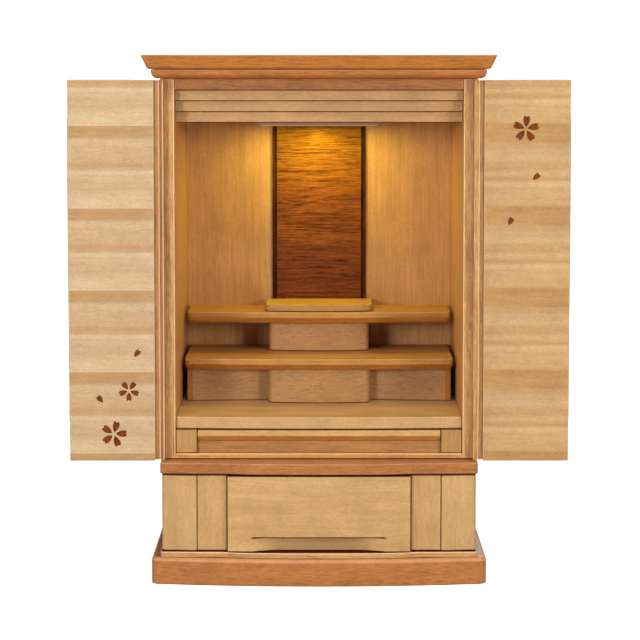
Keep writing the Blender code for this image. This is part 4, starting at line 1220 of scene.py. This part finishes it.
def model_petal(name, shape, points=40):
    """A petal one unit long with its tip at the origin, notched at its far end, lying in XY."""
    deselect()
    bpy.ops.mesh.primitive_circle_add(vertices=points, radius=0.5, fill_type="NGON", location=(0.5, 0.0, 0.0))
    piece = take_new(name)
    settle(piece)
    open_for_edit(piece)
    work = bmesh.from_edit_mesh(piece.data)
    starts = [vertex.co.copy() for vertex in work.verts]
    for index, start in enumerate(starts):
        turn = math.atan2(start.y, 0.5 - start.x) % (2 * math.pi)
        swell = math.sin(turn / 2) ** 0.9
        from_end = abs(turn - math.pi)
        dip = shape.notch * math.exp(-((from_end / 0.30) ** 2))
        lobe = 0.05 * math.exp(-(((from_end - 0.62) / 0.30) ** 2))
        goal = Vector((
            (1 - math.cos(turn)) / 2 - dip + lobe,
            shape.petal_width * math.sin(turn) * swell,
            0.0,
        ))
        pick(piece, "VERT", lambda v: v.index == index)
        bpy.ops.transform.translate(value=goal - start)
    deselect()
    return piece


def lay_petal(pattern, name, centre, angle, length, start, face_y, shape):
    """A copy of the petal let into a door: start is how far its tip is from the centre."""
    make_active(pattern)
    bpy.ops.object.duplicate()
    petal = take_new(name)
    open_for_edit(petal)
    bpy.ops.mesh.select_all(action="SELECT")
    bpy.ops.transform.resize(value=(length, length, 1.0), center_override=(0.0, 0.0, 0.0))
    bpy.ops.transform.translate(value=(start, 0.0, 0.0))
    bpy.ops.mesh.extrude_region_move(TRANSFORM_OT_translate={"value": (0.0, 0.0, shape.thickness)})
    bpy.ops.mesh.inset(thickness=shape.border, depth=0.0)
    deselect()
    middle = max(petal.data.polygons, key=lambda face: face.area * (face.center.z > TINY))
    mark = petal.data.attributes.new(name="arris", type="FLOAT", domain="FACE")
    for face in petal.data.polygons:
        mark.data[face.index].value = 1.0 if face.index == middle.index else 0.0
    petal.rotation_euler = (math.radians(90), -math.radians(angle), 0.0)
    petal.location = (centre[0], face_y + shape.thickness - shape.proud, centre[1])
    settle(petal)
    return petal


class MakeBlossoms(bpy.types.Operator):
    """Inlay the cherry blossoms and the loose petals in the doors"""

    bl_idname = "altar.make_blossoms"
    bl_label = "Make Blossoms"

    def execute(self, context):
        shape = context.scene.altar_blossoms
        pattern = model_petal("petal_pattern", shape)
        for name, door, centre, radius, first in BLOSSOMS:
            face_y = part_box(f"{door}_leaf_facing")[0].y
            start = shape.heart * radius
            length = radius - start
            petals = [
                lay_petal(pattern, f"{name}_{i}", centre, first + 72 * i, length, start, face_y, shape)
                for i in range(5)
            ]
            make_active(*petals)
            bpy.ops.object.join()
            finish_piece(take_new(name), "inlay_timber", f"{door}_leaf", "dark_rosewood")
        for name, door, centre, length, angle in LOOSE_PETALS:
            face_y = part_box(f"{door}_leaf_facing")[0].y
            petal = lay_petal(pattern, name, centre, angle, length, -length / 2, face_y, shape)
            finish_piece(petal, "inlay_timber", f"{door}_leaf", "dark_rosewood")
        bpy.data.objects.remove(pattern, do_unlink=True)
        return {"FINISHED"}


class MakeStage(bpy.types.Operator):
    """Set the pale floor, the white surroundings, the softboxes, the niche lights and the camera"""

    bl_idname = "altar.make_stage"
    bl_label = "Make Stage"

    floor_glow: number_property("Floor glow", "Lifts the floor to the backdrop", 0.90)

    def execute(self, context):
        studio = context.scene.altar_studio
        self.make_floor()
        self.make_surroundings(context, studio)
        self.make_softboxes(studio)
        self.make_niche_lights(studio)
        self.make_camera(context, studio)
        context.scene.view_settings.view_transform = "Standard"
        return {"FINISHED"}

    def make_floor(self):
        deselect()
        bpy.ops.mesh.primitive_circle_add(vertices=96, radius=9.0, fill_type="NGON", location=(0.0, 0.0, 0.0))
        floor = take_new("studio_floor")
        tree, shader, place_on = start_material("studio_paper")
        cloud = map_range(tree, drawn_noise(tree, place_on, 0.6, 1.0), -0.3, 0.3)
        paper = blend(tree, cloud, (0.93, 0.93, 0.93), (0.90, 0.90, 0.90))
        path = place(tree, "ShaderNodeLightPath")
        glow = map_range(tree, path.outputs["Is Camera Ray"], 0.0, 1.0, 0.0, self.floor_glow)
        set_inputs(tree, shader, Base_Color=paper, Roughness=0.9)
        set_inputs(tree, shader, Emission_Color=WHITE, Emission_Strength=glow)
        dress(floor, "studio_paper")

    def make_surroundings(self, context, studio):
        world = bpy.data.worlds.new("white_studio")
        context.scene.world = world
        world.use_nodes = True
        tree = world.node_tree
        tree.nodes.clear()
        path = place(tree, "ShaderNodeLightPath")
        strength = map_range(tree, path.outputs["Is Camera Ray"], 0.0, 1.0, studio.sky, studio.backdrop)
        background = place(tree, "ShaderNodeBackground", Color=WHITE, Strength=strength)
        place(tree, "ShaderNodeOutputWorld", Surface=background.outputs[0])

    def aim_area(self, name, watts, place_at, aim, size, colour=WHITE):
        light = bpy.data.lights.new(name, "AREA")
        light.shape = "SQUARE"
        light.size = size
        light.energy = watts
        light.color = colour
        lamp = bpy.data.objects.new(name, light)
        bpy.context.scene.collection.objects.link(lamp)
        lamp.location = place_at
        lamp.rotation_euler = (Vector(aim) - Vector(place_at)).to_track_quat("-Z", "Y").to_euler()

    def make_softboxes(self, studio):
        low, high = CAD_BOX
        aim = ((low.x + high.x) / 2, low.y, high.z / 2)
        reach = 2.6
        for side, label in SIDES:
            angle = getattr(studio, f"azimuth_{label}")
            place_at = (side * reach * math.sin(angle), low.y - reach * math.cos(angle), 0.80)
            self.aim_area(f"softbox_{label}", getattr(studio, f"key_{label}"), place_at, aim, studio.key_size)
        self.aim_area("softbox_top", studio.top, (0.0, low.y - 1.15, 2.1), aim, 1.3)
        self.aim_area("softbox_rear", studio.rear, (0.5, high.y + 2.3, 1.5), aim, 1.2)

    def make_niche_lights(self, studio):
        low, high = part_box("lamp_lens")
        y = (low.y + high.y) / 2
        reach = (high.x - low.x) / 2 - 0.006
        for place_x, label in ((-reach, "left"), (0.0, "middle"), (reach, "right")):
            at = (place_x, y, low.z - 0.001)
            watts = studio.lamp * (studio.lamp_middle if label == "middle" else 1.0)
            self.aim_area(f"niche_light_{label}", watts, at, (place_x, y, 0.0), 0.010, studio.lamp_colour)

    def make_camera(self, context, studio):
        camera = bpy.data.cameras.new("photo_camera")
        camera.lens = studio.lens
        camera.sensor_width = 36.0
        camera.shift_x = studio.shift_x
        camera.shift_y = studio.shift_y
        camera.clip_end = 60.0
        holder = bpy.data.objects.new("photo_camera", camera)
        context.scene.collection.objects.link(holder)
        posts_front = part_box("post_left")[0].y
        holder.location = (0.0, posts_front - studio.distance, studio.height)
        holder.rotation_euler = (math.pi / 2 - studio.pitch, 0.0, 0.0)
        context.scene.camera = holder


class AltarPanel(bpy.types.Panel):
    """Sizes, colours and steps of the altar cabinet's finish"""

    bl_idname = "VIEW3D_PT_altar_cabinet"
    bl_label = "Altar Cabinet"
    bl_space_type = "VIEW_3D"
    bl_region_type = "UI"
    bl_category = "Altar Cabinet"

    def draw(self, context):
        layout = self.layout
        for operator in OPERATORS:
            layout.operator(operator.bl_idname)
        for name, group in SETTINGS:
            box = layout.box()
            box.label(text=group.__name__)
            for key in group.__annotations__:
                box.prop(getattr(context.scene, name), key)


SETTINGS = (
    ("altar_timber", AltarTimber),
    ("altar_edges", AltarEdges),
    ("altar_blossoms", AltarBlossoms),
    ("altar_studio", AltarStudio),
)
OPERATORS = (
    MakeFinishes,
    DressFrame,
    MakeBoards,
    MakeStileMouldings,
    MakeCrown,
    MakeBase,
    MakeDrawerFront,
    MakeBaseStrips,
    MakeShelves,
    MakeBlossoms,
    MakeStage,
)


def register():
    for name, group in SETTINGS:
        bpy.utils.register_class(group)
        setattr(bpy.types.Scene, name, PointerProperty(type=group))
    for operator in OPERATORS:
        bpy.utils.register_class(operator)
    bpy.utils.register_class(AltarPanel)


def unregister():
    bpy.utils.unregister_class(AltarPanel)
    for operator in reversed(OPERATORS):
        bpy.utils.unregister_class(operator)
    for name, group in reversed(SETTINGS):
        delattr(bpy.types.Scene, name)
        bpy.utils.unregister_class(group)


def main():
    register()
    for operator in OPERATORS:
        getattr(bpy.ops.altar, operator.bl_idname.removeprefix("altar."))()


if __name__ == "__main__":
    main()
